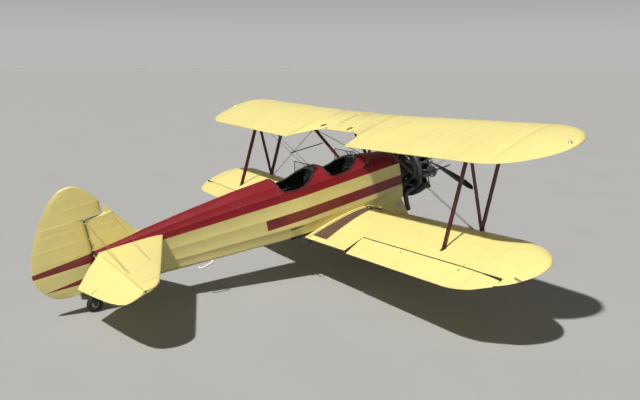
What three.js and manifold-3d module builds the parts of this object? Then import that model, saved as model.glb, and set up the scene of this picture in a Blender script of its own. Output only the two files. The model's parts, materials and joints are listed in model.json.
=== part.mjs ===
// A two-seat open-cockpit biplane with a seven-cylinder radial engine, parked on its three wheels.
// Units are millimetres. Aircraft axes: x forward from the upper wing's leading edge,
// y to port, z up from the thrust line. The last lines turn it nose up and stand it on the ground.
import * as THREE from 'three';
import { mergeVertices } from 'three/addons/utils/BufferGeometryUtils.js';
import Module from 'manifold-3d';

const wasm = await Module();
wasm.setup();

// Driving dimensions
const GAP = 0.3; // between pieces that touch
const GROUND_ANGLE = THREE.MathUtils.degToRad(11.4); // nose up when parked
const CHORD = 1524; // both wings
const UPPER = { semiSpan: 4905, dihedral: 1.5, incidence: 4, x: 0, z: 1150, inner: 960, tip: [700, 950] };
const LOWER = { semiSpan: 4870, dihedral: 2, incidence: 3, x: -726, z: -397, inner: 487, tip: [850, 1020] };
const TIP_LEAD = 620; // a wing's tip rounds its leading edge over tip[0], its trailing edge over tip[1]
const CUTOUT = { flat: 380, depth: 590, power: 2.6 }; // in the centre section's trailing edge
const AILERON = { hinge: 1131, inner: 1616, outer: 4584, tipCut: 100, gap: 10, rest: 7 };
const FRONT_SPAR = 105; // behind the leading edge
const REAR_SPAR = 889;
const STRUT_Y = 3270; // interplane struts
const WIRE_SPAR = 144; // the wires' fittings on the lower wing, behind its leading edge
const FLYING = { root: 440, head: 3200, apart: 50, aft: 31 }; // pair of wires, fore and aft of its middle
const LANDING = { root: 985, foot: 3120, apart: 18 };
const WIRE = { chord: 10, thick: 5 };
const JAVELIN = { rear: -980, front: -100, radius: 11, point: 60 }; // spreader where the wires cross
const FIREWALL_X = 0;
const COCKPIT_FRONT_X = -600;
const COCKPIT_REAR_X = -2560;
const WAIST_Z = 265; // upper longeron and paint line
const SKIN = 22; // cockpit wall
const TAIL_POST_X = -5705;
const RUDDER = { hingeX: -5745, gap: 12, thick: 66 };
const ELEVATOR = { hingeX: -5660, hingeZ: 332, noseR: 30, gap: 8, droop: 25, tube: 18 };
const PROP = { x: 1030, radius: 1295, dip: 18.6 };
const ENGINE = { x: 720, caseR: 235, headR: 540, cylinders: 7, barrelR: 70, finR: 98 };
const WHEEL = { x: -340, y: 965, z: -1356.5, tireR: 305, tireW: 190, rimR: 150 };
const TAIL_WHEEL = { x: -5890, tireR: 127, tireW: 82 };

// Colours and finish: name, colour, roughness, metalness
const FINISH = Object.fromEntries([
  ['cream', 0xf3e7a6, 0.5, 0],
  ['maroon', 0x7a1426, 0.45, 0],
  ['strut_red', 0x5e1420, 0.45, 0],
  ['black', 0x16161a, 0.5, 0.2],
  ['engine_metal', 0x6f7072, 0.45, 0.8],
  ['exhaust_metal', 0x8a8880, 0.5, 0.7],
  ['wire_steel', 0x9a9a98, 0.35, 0.9],
  ['rubber', 0x1c1c1c, 0.85, 0],
  ['glass', 0xc9d6d6, 0.1, 0],
  ['leather', 0x4a2a1c, 0.7, 0],
  ['interior', 0x4d5445, 0.7, 0.1],
].map(([name, color, roughness, metalness]) =>
  [name, new THREE.MeshStandardMaterial({ name, color, roughness, metalness })]));

// Small helpers
const vec = (x, y, z) => new THREE.Vector3(x, y, z);
const rad = THREE.MathUtils.degToRad;
const lerp = THREE.MathUtils.lerp;

function bare(geometry) {
  const g = geometry.index ? geometry : geometry.clone();
  for (const name of Object.keys(g.attributes)) if (name !== 'position') g.deleteAttribute(name);
  return mergeVertices(g, 1e-3);
}

function solid(geometry) {
  const g = bare(geometry);
  return new wasm.Manifold(new wasm.Mesh({
    numProp: 3,
    vertProperties: new Float32Array(g.attributes.position.array),
    triVerts: new Uint32Array(g.index.array),
  }));
}

function geometryOf(manifold) {
  const m = manifold.getMesh();
  const g = new THREE.BufferGeometry();
  g.setAttribute('position', new THREE.BufferAttribute(new Float32Array(m.vertProperties), 3));
  g.setIndex(new THREE.BufferAttribute(new Uint32Array(m.triVerts), 1));
  return g;
}

const join = (...geometries) => geometryOf(geometries.map(solid).reduce((a, b) => a.add(b)));
const cut = (geometry, ...tools) =>
  geometryOf(tools.map(solid).reduce((a, b) => a.subtract(b), solid(geometry)));
const common = (a, b) => geometryOf(solid(a).intersect(solid(b)));
const largestBody = geometry =>
  geometryOf(solid(geometry).decompose().sort((a, b) => b.volume() - a.volume())[0]);

// Rings of points, all with the same count, become one closed skin. Each end is closed
// by a ladder between its first and last points.
function loft(rings) {
  const n = rings[0].length;
  const points = rings.flat();
  const faces = [];
  for (let r = 0; r + 1 < rings.length; r++) {
    for (let i = 0; i < n; i++) {
      const a = r * n + i;
      const b = r * n + (i + 1) % n;
      faces.push(a, b, a + n, b, b + n, a + n);
    }
  }
  const last = (rings.length - 1) * n;
  for (let i = 0, j = n - 1; i < j; i++, j--) {
    faces.push(i, j, i + 1, last + i, last + i + 1, last + j);
    if (i + 1 < j - 1) faces.push(i + 1, j, j - 1, last + i + 1, last + j - 1, last + j);
  }
  const g = new THREE.BufferGeometry();
  g.setAttribute('position', new THREE.Float32BufferAttribute(points.flatMap(p => [p.x, p.y, p.z]), 3));
  g.setIndex(faces);
  return facingOut(g);
}

function facingOut(g) {
  const p = g.attributes.position;
  const at = i => vec(p.getX(i), p.getY(i), p.getZ(i));
  const index = g.index.array;
  let volume = 0;
  for (let k = 0; k < index.length; k += 3) {
    const [a, b, c] = [at(index[k]), at(index[k + 1]), at(index[k + 2])];
    volume += a.dot(b.cross(c));
  }
  if (volume < 0) {
    for (let k = 0; k < index.length; k += 3) [index[k], index[k + 1]] = [index[k + 1], index[k]];
  }
  return g;
}

function box(x0, x1, y0, y1, z0, z1) {
  return new THREE.BoxGeometry(x1 - x0, y1 - y0, z1 - z0)
    .translate((x0 + x1) / 2, (y0 + y1) / 2, (z0 + z1) / 2);
}

// A flat outline [x, z] with a thickness across y
function plateXZ(outline, y0, y1) {
  const shape = new THREE.Shape(outline.map(([x, z]) => new THREE.Vector2(x, z)));
  return new THREE.ExtrudeGeometry(shape, { depth: y1 - y0, bevelEnabled: false })
    .rotateX(Math.PI / 2).translate(0, y1, 0);
}

// A flat outline [x, y] standing from z0 to z1
function plateXY(outline, z0, z1) {
  const shape = new THREE.Shape(outline.map(([x, y]) => new THREE.Vector2(x, y)));
  return new THREE.ExtrudeGeometry(shape, { depth: z1 - z0, bevelEnabled: false }).translate(0, 0, z0);
}

// A streamlined strut: oval section with its long way fore and aft
function strut(a, b, chord, thick, sides = 10, taper = 1) {
  const along = b.clone().sub(a).normalize();
  const fore = vec(1, 0, 0).addScaledVector(along, -along.x);
  if (fore.length() < 0.05) fore.set(0, 0, 1).addScaledVector(along, -along.z);
  fore.normalize();
  const side = along.clone().cross(fore);
  const ring = (centre, scale) => Array.from({ length: sides }, (_, i) => {
    const t = 2 * Math.PI * (i + 0.5) / sides;
    return centre.clone().addScaledVector(fore, scale * chord / 2 * Math.cos(t))
      .addScaledVector(side, scale * thick / 2 * Math.sin(t));
  });
  return loft([ring(a, 1), ring(b, taper)]);
}

const rod = (a, b, r, sides = 8) => strut(a, b, 2 * r, 2 * r, sides);

// A round piece about the x or y axis from a closed profile of [radius, distance]
function turned(profile, axis, segments) {
  const g = new THREE.LatheGeometry(profile.map(([r, d]) => new THREE.Vector2(r, d)), segments);
  return axis === 'x' ? bare(g).rotateZ(-Math.PI / 2) : bare(g);
}

const tube = (points, r, steps, sides = 8) => {
  const circle = new THREE.Shape(Array.from({ length: sides }, (_, i) =>
    new THREE.Vector2(r * Math.cos(2 * Math.PI * i / sides), r * Math.sin(2 * Math.PI * i / sides))));
  const path = new THREE.CatmullRomCurve3(points);
  return new THREE.ExtrudeGeometry(circle, { steps, extrudePath: path, bevelEnabled: false });
};

function piece(name, finish, geometry) {
  const mesh = new THREE.Mesh(geometry, FINISH[finish]);
  mesh.name = name;
  return mesh;
}

const mirrored = geometry => facingOut(bare(geometry).scale(1, -1, 1));
const SIDES = [['left', 1], ['right', -1]];
const onSide = (side, geometry) => (side > 0 ? geometry : mirrored(geometry));

// Fuselage stations: x, top, bottom, half width, roundness of the upper deck from 0 to 1
const STATIONS = [
  [0, 440, -490, 428, 1],
  [-600, 545, -495, 430, 0.8],
  [-950, 600, -495, 430, 0.6],
  [-2200, 612, -490, 430, 0.5],
  [-2560, 610, -470, 392, 0.5],
  [-3220, 596, -420, 322, 0.3],
  [-4130, 540, -355, 228, 0.15],
  [-4970, 470, -285, 142, 0.1],
  [-5705, 395, -175, 66, 0.1],
];

function station(x) {
  const found = STATIONS.findIndex(s => s[0] <= x);
  const next = found < 0 ? STATIONS.length - 1 : Math.max(1, found);
  const [a, b] = [STATIONS[next - 1], STATIONS[next]];
  const t = (x - a[0]) / (b[0] - a[0]);
  return a.map((value, i) => lerp(value, b[i], t));
}

// One fuselage ring, shrunk by inset, from the top over port and down, then up starboard.
// Flat facets run between the stringers.
function fuselageRing(x, inset = 0) {
  const [, top, bottom, half, round] = station(x);
  const deck = top - WAIST_Z;
  // stringers of the deck: share of the half width, share of the deck height
  const stringers = [
    [0, 1], [lerp(0.3, 0.4, round), 0.97], [lerp(0.62, 0.72, round), lerp(0.72, 0.8, round)],
    [lerp(0.88, 0.94, round), lerp(0.36, 0.42, round)],
  ].map(([w, h]) => [half * w, WAIST_Z + deck * h]);
  const low = bottom - WAIST_Z;
  const sides = [[0.985, 0], [1, 0.32], [0.985, 0.66], [0.9, 0.9], [0.55, 0.99]]
    .map(([w, h]) => [half * w, WAIST_Z + low * h]);
  const port = [...stringers, ...sides];
  const middle = (top + bottom) / 2;
  const shrink = ([y, z]) => [y * (half - inset) / half,
    middle + (z - middle) * ((top - bottom) / 2 - inset) / ((top - bottom) / 2)];
  const ring = [...port, ...port.slice(1).reverse().map(([y, z]) => [-y, z])];
  // the keel point closes the ring between the two lowest points
  ring.splice(port.length, 0, [0, bottom]);
  return ring.map(shrink).map(([y, z]) => vec(x, y, z));
}

function fuselagePart(fromX, toX, inset = 0) {
  const between = STATIONS.map(s => s[0]).filter(x => x < fromX - 1 && x > toX + 1);
  const rings = [fromX, ...between, toX].map(x => fuselageRing(x, inset));
  // start each ring at the keel so that the closing ladder runs level
  return loft(rings.map(r => [...r.slice(9), ...r.slice(0, 9)]));
}

// The whole fuselage grown by the gap, to trim what is fastened to it
const outerFuselage = () => fuselagePart(FIREWALL_X + GAP, TAIL_POST_X - GAP, -GAP);

function rearFuselage() {
  const body = fuselagePart(COCKPIT_REAR_X - GAP, TAIL_POST_X);
  const notch = box(TAIL_POST_X - 10, ELEVATOR.hingeX + ELEVATOR.tube + 12, -200, 200,
    ELEVATOR.hingeZ - ELEVATOR.tube - 12, ELEVATOR.hingeZ + ELEVATOR.tube + 12);
  return cut(body, notch);
}

// Cockpit openings in side view, [x, z], from the rear edge along the rim to the front edge
const OPENINGS = [
  [[-2525, 900], [-2525, 530], [-2475, 422], [-2250, 402], [-2080, 422], [-1980, 449], [-1883, 493],
    [-1793, 545], [-1715, 583], [-1645, 604], [-1640, 900]],
  [[-1550, 900], [-1535, 515], [-1498, 434], [-1400, 418], [-1200, 424], [-1072, 443], [-971, 487],
    [-876, 530], [-800, 558], [-755, 574], [-750, 900]],
];

function cockpitShell() {
  const hollow = fuselagePart(COCKPIT_FRONT_X - SKIN, COCKPIT_REAR_X + SKIN, SKIN);
  const shell = cut(fuselagePart(COCKPIT_FRONT_X - GAP, COCKPIT_REAR_X), hollow);
  const openings = OPENINGS.map(outline => plateXZ(outline, -600, 600));
  return cut(shell, ...openings);
}

const below = z => box(-7000, 1000, -1000, 1000, -2000, z);
const above = z => box(-7000, 1000, -1000, 1000, z, 3000);

const floorAt = x => station(x)[2] + SKIN + 8;

function seat(x) {
  const side = [[x + 220, -130], [x + 220, -20], [x + 20, 20], [x - 90, 400], [x - 120, 400],
    [x - 60, -130]];
  const pan = [[x + 240, -90], [x - 40, -90], [x - 75, 500], [x + 240, 500]];
  const bucket = cut(plateXZ(side, -230, 230), plateXZ(pan, -205, 205));
  return join(bucket, box(x - 40, x + 180, -150, 150, floorAt(x - 40), -120));
}

// A cushion with rounded corners, flat below, that lies in the seat
function seatCushion(x) {
  const [length, width, corner] = [225, 390, 50];
  const ring = (z, inset) => {
    const [a, b, r] = [length / 2 - inset - corner, width / 2 - inset - corner, corner];
    const corners = [[a, b, 0], [-a, b, 1], [-a, -b, 2], [a, -b, 3]];
    return corners.flatMap(([cx, cy, quarter]) => [0, 1, 2].map(i => {
      const t = (quarter + i / 2) * Math.PI / 2;
      return vec(x + 82 + cx + r * Math.cos(t), cy + r * Math.sin(t), z);
    }));
  };
  return loft([ring(-89, 4), ring(-80, 0), ring(-35, 0), ring(-12, 12), ring(-4, 40)]);
}

// A three-pane windshield: rows of x, half width and height from the rear post to the middle pane
const PANES = { rear: [-146, 250, 728], front: [0, 150, 660], base: [78, 160], foot: [-150, 349.233, 420] };
function windshield(x) {
  const thick = 8;
  const wall = (rear, front, z) => {
    const outer = [[rear[0], -rear[1]], [front[0], -front[1]], [front[0], front[1]], [rear[0], rear[1]]];
    const inner = outer.map(([a, b]) => [a - thick, b - Math.sign(b) * thick]).reverse();
    const heights = [z[0], z[1], z[1], z[0]];
    return [...outer, ...inner].map(([a, b], i) => vec(x + a, b, heights[i % 4]));
  };
  const high = wall(PANES.rear, PANES.front, [PANES.rear[2], PANES.front[2]]);
  const low = wall(PANES.foot, PANES.base, [PANES.foot[2], PANES.foot[2]]);
  return cut(loft([low, high]), outerFuselage());
}

function instrumentPanel(x) {
  const slice = common(fuselagePart(x, x - 12, SKIN + 6), above(60));
  return slice;
}

// Wing section of the two-thousand family: camber 2 percent at 20 percent, 13 percent thick
const FOIL = { camber: 0.02, camberAt: 0.2, thickness: 0.13, points: 12, edge: 0.002 };

function foilPoint(share, upper) {
  const { camber, camberAt: p, thickness, edge } = FOIL;
  const half = 5 * thickness * (0.2969 * Math.sqrt(share) - 0.126 * share - 0.3516 * share ** 2
    + 0.2843 * share ** 3 - 0.1036 * share ** 4) + edge * share;
  const line = share < p ? camber / p ** 2 * (2 * p * share - share ** 2)
    : camber / (1 - p) ** 2 * (1 - 2 * p + 2 * p * share - share ** 2);
  return upper ? line + half : line - half;
}

// Where the cut-out shortens the section by lost, the front keeps its shape and the rear closes sooner
function foilRing(x, y, z, chord, incidence, lost = 0) {
  const close = share => 1 - 0.95 * Math.min(1, lost / 250) * share ** 5;
  const shares = Array.from({ length: FOIL.points }, (_, i) =>
    (1 - Math.cos(Math.PI * i / (FOIL.points - 1))) / 2);
  const outline = [
    ...shares.slice().reverse().map(s => [s, true]),
    ...shares.slice(1).map(s => [s, false]),
  ].map(([s, upper]) => [s, foilPoint(s * chord / (chord + lost), upper) * (chord + lost) * close(s)]);
  const [c, s] = [Math.cos(rad(incidence)), Math.sin(rad(incidence))];
  return outline.map(([share, h]) => {
    const [back, up] = [share * chord, h];
    return vec(x - back * c + up * s, y, z - back * s + up * c);
  });
}

// How far the tip's rounding has pulled in the leading and trailing edges at y
function tipPull(y, wing) {
  const arc = (length, depth) => {
    const t = Math.max(0, (y - (wing.semiSpan - length)) / length);
    return depth * (1 - Math.sqrt(Math.max(0, 1 - t * t)));
  };
  return [arc(wing.tip[0], TIP_LEAD), arc(wing.tip[1], CHORD - TIP_LEAD)];
}

// A wing panel before its dihedral, in its own level axes, from y0 to its tip
function wingPanel(wing, y0) {
  const steps = [0, 0.3, 0.55, 0.75, 0.88, 0.96, 0.994];
  const length = wing.tip[1];
  const ys = [y0, ...steps.map(s => wing.semiSpan - length + s * length)];
  return loft(ys.map(y => {
    const [lead, trail] = tipPull(y, wing);
    const chord = CHORD - lead - trail;
    const slope = Math.sin(rad(wing.incidence));
    return foilRing(wing.x - lead, y, wing.z - lead * slope, chord, wing.incidence);
  }));
}

// The aileron's hinge sits at mid thickness of the lower wing
function aileronHinge() {
  const share = AILERON.hinge / CHORD;
  const middle = (foilPoint(share, true) + foilPoint(share, false)) / 2 * CHORD;
  const half = (foilPoint(share, true) - foilPoint(share, false)) / 2 * CHORD;
  const [c, s] = [Math.cos(rad(LOWER.incidence)), Math.sin(rad(LOWER.incidence))];
  return {
    x: LOWER.x - AILERON.hinge * c + middle * s, z: LOWER.z - AILERON.hinge * s + middle * c,
    radius: half - 4,
  };
}

function crossBar(hinge, radius, y0, y1) {
  return new THREE.CylinderGeometry(radius, radius, y1 - y0, 20)
    .translate(0, (y0 + y1) / 2, 0).translate(hinge.x, 0, hinge.z);
}

// The aileron bay seen from above, widened by clear
function aileronBay(hinge, clear) {
  const outline = [
    [hinge.x, AILERON.inner - clear], [LOWER.x - CHORD - 200, AILERON.inner - clear],
    [LOWER.x - CHORD - 200, AILERON.outer - AILERON.tipCut * 1.6 + clear], [hinge.x, AILERON.outer + clear],
  ];
  return plateXY(outline, -2000, 2000);
}

function lowerWing() {
  const hinge = aileronHinge();
  const bar = crossBar(hinge, hinge.radius + AILERON.gap, AILERON.inner - AILERON.gap,
    AILERON.outer + AILERON.gap);
  const panel = cut(wingPanel(LOWER, 380), aileronBay(hinge, AILERON.gap), bar);
  return largestBody(cut(panel, lowered(LOWER, outerFuselage())));
}

function aileron() {
  const hinge = aileronHinge();
  const whole = wingPanel(LOWER, 380);
  const flap = common(whole, aileronBay(hinge, 0));
  const nose = common(whole, crossBar(hinge, hinge.radius, AILERON.inner, AILERON.outer));
  return join(flap, nose);
}

// The aileron rests a little off centre: port up, starboard down
function aileronGroup(side, mesh) {
  const hinge = aileronHinge();
  const group = new THREE.Group();
  group.position.set(hinge.x, 0, hinge.z - LOWER.z);
  group.rotation.y = side * rad(AILERON.rest);
  mesh.geometry.translate(-hinge.x, -side * LOWER.inner, -hinge.z);
  group.add(mesh);
  return group;
}

// A wing panel turned up by its dihedral about its inner end
function panelGroup(wing, side, mesh, ...carried) {
  const group = new THREE.Group();
  group.position.set(0, side * wing.inner, wing.z);
  group.rotation.x = side * rad(wing.dihedral);
  mesh.geometry.translate(0, -side * wing.inner, -wing.z);
  group.add(mesh, ...carried);
  return group;
}

// A port shape turned up with its panel, or down into the panel's level axes
const turnedUp = (wing, geometry, sign = 1) => geometry.translate(0, -wing.inner, -wing.z)
  .rotateX(sign * rad(wing.dihedral)).translate(0, wing.inner, wing.z);
const raised = (wing, geometry) => turnedUp(wing, geometry);
const lowered = (wing, geometry) => turnedUp(wing, geometry, -1);

// How much chord the cut-out takes at y: full depth in the middle, none at the panel joint
function cutoutLoss(y) {
  const t = Math.max(0, Math.abs(y) - CUTOUT.flat) / (UPPER.inner - CUTOUT.flat);
  return CUTOUT.depth * (1 - t ** CUTOUT.power);
}

function centreSection() {
  const half = [UPPER.inner, 925, 860, 770, 660, 530, CUTOUT.flat];
  const side = loft([...half, 0].map(y =>
    foilRing(UPPER.x, y, UPPER.z, CHORD - cutoutLoss(y), UPPER.incidence, cutoutLoss(y))));
  return join(side, mirrored(side));
}

// Where a strut meets a wing: distance behind the leading edge, at y, on the given surface
function wingPoint(wing, behind, y, upper, lift = 0) {
  const rise = Math.max(0, Math.abs(y) - wing.inner) * Math.tan(rad(wing.dihedral));
  const h = foilPoint(behind / CHORD, upper) * CHORD + lift;
  const [c, s] = [Math.cos(rad(wing.incidence)), Math.sin(rad(wing.incidence))];
  return vec(wing.x - behind * c + h * s, y,
    wing.z - behind * s + h * c + rise);
}

const SUNK = 15; // how far a strut's end runs into the wing before it is trimmed
const upperUnderside = () => join(raised(UPPER, wingPanel(UPPER, UPPER.inner)), centreSection())
  .translate(0, 0, -GAP);
const lowerTopside = () => raised(LOWER, wingPanel(LOWER, 380)).translate(0, 0, GAP);

function interplaneStruts() {
  const foot = spar => wingPoint(LOWER, spar, STRUT_Y, true, -SUNK);
  const head = spar => wingPoint(UPPER, spar, STRUT_Y, false, SUNK);
  const [ff, rf] = [foot(FRONT_SPAR), foot(REAR_SPAR)];
  const [fh, rh] = [head(FRONT_SPAR), head(REAR_SPAR)];
  const struts = join(strut(ff, fh, 82, 36), strut(rf, rh, 82, 36), strut(ff, rh, 66, 30));
  return cut(struts, upperUnderside(), lowerTopside());
}

// Each strut runs on into the fuselage before it is trimmed
function cabane() {
  const top = spar => wingPoint(UPPER, spar, 935, false, SUNK);
  const into = (foot, head) => foot.clone().addScaledVector(head.clone().sub(foot).normalize(), -70);
  const [frontFoot, rearFoot] = [vec(-100, 420, 300), vec(-750, 420, 440)];
  const struts = [[frontFoot, top(FRONT_SPAR), 70, 32], [rearFoot, top(REAR_SPAR), 70, 32],
    [frontFoot, top(REAR_SPAR), 60, 28]]
    .map(([foot, head, chord, thick]) => strut(into(foot, head), head, chord, thick));
  return cut(join(...struts), outerFuselage(), upperUnderside());
}

// Stay wires of one bay: name, inner end, outer end. Both pairs lie in one plane across the bay.
const LIFT_OFF = 4; // from the skin to the wire's end
function stays() {
  const lower = (behind, y) => wingPoint(LOWER, behind, y, true, LIFT_OFF);
  const upper = (behind, y) => wingPoint(UPPER, behind, y, false, -LIFT_OFF);
  return [['front', -1], ['rear', 1]].flatMap(([place, s]) => [
    [`flying_wire_${place}`, lower(WIRE_SPAR + s * FLYING.apart, FLYING.root),
      upper(REAR_SPAR + FLYING.aft + s * FLYING.apart, FLYING.head)],
    [`landing_wire_${place}`, upper(REAR_SPAR + s * LANDING.apart, LANDING.root),
      lower(WIRE_SPAR + s * LANDING.apart, LANDING.foot)],
  ]);
}

// The spreader lies where the two pairs cross, seen from the front, and each wire has its slot in it
function javelin() {
  const wires = stays();
  const [[, a, b], [, c, d]] = wires;
  const slope = (p, q) => (q.z - p.z) / (q.y - p.y);
  const y = (c.z - a.z + slope(a, b) * a.y - slope(c, d) * c.y) / (slope(a, b) - slope(c, d));
  const z = a.z + slope(a, b) * (y - a.y);
  const { rear, front, radius, point } = JAVELIN;
  const bar = turned([[0, rear], [radius, rear + point], [radius, front - point], [0, front]], 'x', 10)
    .translate(0, y, z);
  const slots = wires.map(([, p, q]) => strut(p, q, WIRE.chord + 2 * GAP, WIRE.thick + 2 * GAP, 6));
  return cut(bar, ...slots);
}

// Tail surfaces. A symmetric slab: lens section between a leading and a trailing line.
// Rows of y, leading x, trailing x, thickness share
function slab(rows, z, thick, blunt) {
  return loft(rows.map(([y, lead, trail, share]) => {
    const t = thick / 2 * share;
    const at = f => lerp(lead, trail, f);
    return [
      [trail, blunt * t], [at(0.62), t], [at(0.25), 0.8 * t], [at(0.06), 0.42 * t], [lead, 0.08 * t],
      [lead, -0.08 * t], [at(0.06), -0.42 * t], [at(0.25), -0.8 * t], [at(0.62), -t], [trail, -blunt * t],
    ].map(([x, h]) => vec(x, y, z + h));
  }));
}

function stabilizer() {
  const rear = ELEVATOR.hingeX + ELEVATOR.noseR + ELEVATOR.gap;
  const rows = [
    [60, -4600, rear, 1], [240, -4671, rear, 1], [1881, -5327, rear, 0.9], [2007, -5386, rear, 0.8],
    [2093, -5452, rear, 0.7], [2165, -5560, rear, 0.6],
  ];
  return cut(slab(rows, ELEVATOR.hingeZ, 72, 0.85), outerFuselage());
}

function elevator() {
  const { hingeX: x, hingeZ: z, noseR: r } = ELEVATOR;
  const rows = [
    [110, x, x - 50, 1], [250, x, x - 257, 1], [552, x, x - 554, 1], [882, x, x - 512, 1],
    [1363, x, x - 440, 1],
    [1687, x, x - 382, 0.95], [1913, x, x - 326, 0.85], [2070, x, x - 262, 0.75], [2141, x, x - 184, 0.7],
    [2175, x, x - 99, 0.6], [2188, x, x - 40, 0.6],
  ];
  const blade = loft(rows.map(([y, lead, trail, share]) => {
    const t = r * share;
    return [[lead, t], [lead, -t], [trail, -4], [trail, 4]].map(([a, h]) => vec(a, y, z + h));
  }));
  const nose = new THREE.CylinderGeometry(r, r, 2040, 14).translate(x, 110 + 1020, z);
  const tube = rod(vec(x, GAP, z), vec(x, 150, z), ELEVATOR.tube, 12);
  return join(blade, nose, tube);
}

function droop(mesh) {
  const group = new THREE.Group();
  group.position.set(ELEVATOR.hingeX, 0, ELEVATOR.hingeZ);
  group.rotation.y = -rad(ELEVATOR.droop);
  mesh.geometry.translate(-ELEVATOR.hingeX, 0, -ELEVATOR.hingeZ);
  group.add(mesh);
  return group;
}

// Fin and rudder outlines are in side view, [x, z]
// Both curves are drawn through their points; the straight edges join them
const FIN = [[-4880, 460], [-4992, 520], [-5267, 923], [-5382, 1073], [-5389, 928], [-5705, 905],
  [-5705, 380],
  [-4880, 380]];
const RUDDER_EDGE = [[-5745, -130], [-6060, -178], [-6230, -178], [-6382, -142], [-6490, -60], [-6588, 69],
  [-6640, 244], [-6600, 490], [-6531, 683], [-6374, 991], [-6189, 1242], [-5998, 1412], [-5838, 1462],
  [-5725, 1447], [-5634, 1397], [-5562, 1328], [-5494, 1244], [-5422, 1135]];
const HORN_FOOT = [[-5424, 948], [-5745, 930]];

function curveThrough(points, count) {
  const curve = new THREE.SplineCurve(points.map(([x, z]) => new THREE.Vector2(x, z)));
  return curve.getPoints(count).map(p => [p.x, p.y]);
}

// A flat outline in side view, thinned towards its edge by two layers of narrower plates
function sideSlab(outline, thick, pinch) {
  const count = outline.length;
  const centre = outline.reduce((a, [x, z]) => [a[0] + x / count, a[1] + z / count], [0, 0]);
  const ring = (share, y) => outline.map(([x, z]) =>
    vec(lerp(centre[0], x, share), y, lerp(centre[1], z, share)));
  const rings = [ring(1 - pinch, -thick / 2), ring(1, -thick / 10), ring(1, thick / 10),
    ring(1 - pinch, thick / 2)];
  return fanLoft(rings);
}

// Like loft, with each end closed as a flat outline that may be hollow
function fanLoft(rings) {
  const n = rings[0].length;
  const points = rings.flat();
  const faces = [];
  for (let r = 0; r + 1 < rings.length; r++) {
    for (let i = 0; i < n; i++) {
      const [a, b] = [r * n + i, r * n + (i + 1) % n];
      faces.push(a, b, a + n, b, b + n, a + n);
    }
  }
  const flat = rings[0].map(p => new THREE.Vector2(p.x, p.z));
  const last = (rings.length - 1) * n;
  for (const [a, b, c] of THREE.ShapeUtils.triangulateShape(flat, [])) {
    const up = flatArea(flat, a, b, c) > 0;
    const whole = THREE.ShapeUtils.area(flat) > 0;
    const [p, q] = up === whole ? [b, c] : [c, b];
    faces.push(a, q, p, last + a, last + p, last + q);
  }
  const g = new THREE.BufferGeometry();
  g.setAttribute('position', new THREE.Float32BufferAttribute(points.flatMap(p => [p.x, p.y, p.z]), 3));
  g.setIndex(faces);
  return facingOut(g);
}

const flatArea = (flat, a, b, c) => THREE.ShapeUtils.area([flat[a], flat[b], flat[c]]);

function fin() {
  const whole = sideSlab(FIN, 74, 0.06);
  return cut(whole, outerFuselage());
}

function rudder() {
  const outline = [...curveThrough(RUDDER_EDGE, 34), ...HORN_FOOT];
  const whole = sideSlab(outline, RUDDER.thick, 0.07);
  const nose = rod(vec(RUDDER.hingeX, 0, -100), vec(RUDDER.hingeX, 0, 915), 30, 12);
  return join(whole, nose);
}

// Engine
function cylinderProfile() {
  const { caseR, headR, barrelR, finR } = ENGINE;
  const profile = [[0, caseR - 40], [barrelR, caseR - 40]];
  const fins = 5;
  const [low, high] = [caseR + 50, headR - 60];
  for (let i = 0; i < fins; i++) {
    const r = lerp(low, high, i / (fins - 1));
    profile.push([barrelR, r - 7], [finR, r - 3.5], [finR, r + 3.5], [barrelR, r + 7]);
  }
  profile.push([barrelR, headR - 20], [barrelR * 0.6, headR], [0, headR]);
  return profile;
}

// One cylinder standing up: finned barrel, two rocker boxes on its head, intake pipe behind it
function cylinder() {
  const { headR, caseR } = ENGINE;
  const barrel = turned(cylinderProfile(), 'y', 10).rotateX(Math.PI / 2);
  const boxes = [-1, 1].map(s => box(s * 62 - 26, s * 62 + 26, s * 30 - 34, s * 30 + 34,
    headR - 78, headR + 12));
  const intake = tube([vec(-140, 0, caseR - 60), vec(-152, 30, caseR + 90), vec(-135, 45, headR - 130),
    vec(-60, 40, headR - 62)], 24, 5, 6);
  return join(barrel, ...boxes, intake);
}

function engine() {
  const { x, caseR, cylinders } = ENGINE;
  const crank = turned([[0, 470], [190, 470], [caseR, 560], [caseR, 830], [190, 880], [110, 925], [90, 985],
    [0, 985]], 'x', 20);
  const parts = [solid(crank)];
  const one = cylinder();
  for (let i = 0; i < cylinders; i++) {
    parts.push(solid(one.clone().rotateX(2 * Math.PI * i / cylinders).translate(x, 0, 0)));
  }
  return geometryOf(parts.reduce((a, b) => a.add(b)));
}

function engineMount() {
  const ring = new THREE.TorusGeometry(260, 16, 6, 16).rotateY(Math.PI / 2).translate(440, 0, 0);
  const corners = [[330, 300], [-330, 300], [-330, -360], [330, -360]];
  const tubes = corners.flatMap(([y, z]) => {
    const angle = Math.atan2(z, y);
    return [-0.35, 0.35].map(turn => rod(vec(GAP, y, z),
      vec(440, 260 * Math.cos(angle + turn), 260 * Math.sin(angle + turn)), 14, 6));
  });
  return cut(join(ring, ...tubes), outerFuselage());
}

function accessoryCase() {
  return turned([[0, 40], [285, 40], [300, 80], [275, 210], [215, 330], [200, 469], [0, 469]], 'x', 20);
}

// The collector ring behind the cylinders and the pipe that leaves it low on the starboard side
function exhaust() {
  const ring = new THREE.TorusGeometry(420, 50, 8, 24).rotateY(Math.PI / 2).translate(485, 0, 0);
  const pipe = tube([vec(475, -225, -345), vec(380, -245, -362), vec(250, -250, -385), vec(185, -250, -460),
    vec(182, -250, -600), vec(200, -250, -763)], 48, 10, 8);
  return join(ring, pipe);
}

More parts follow.
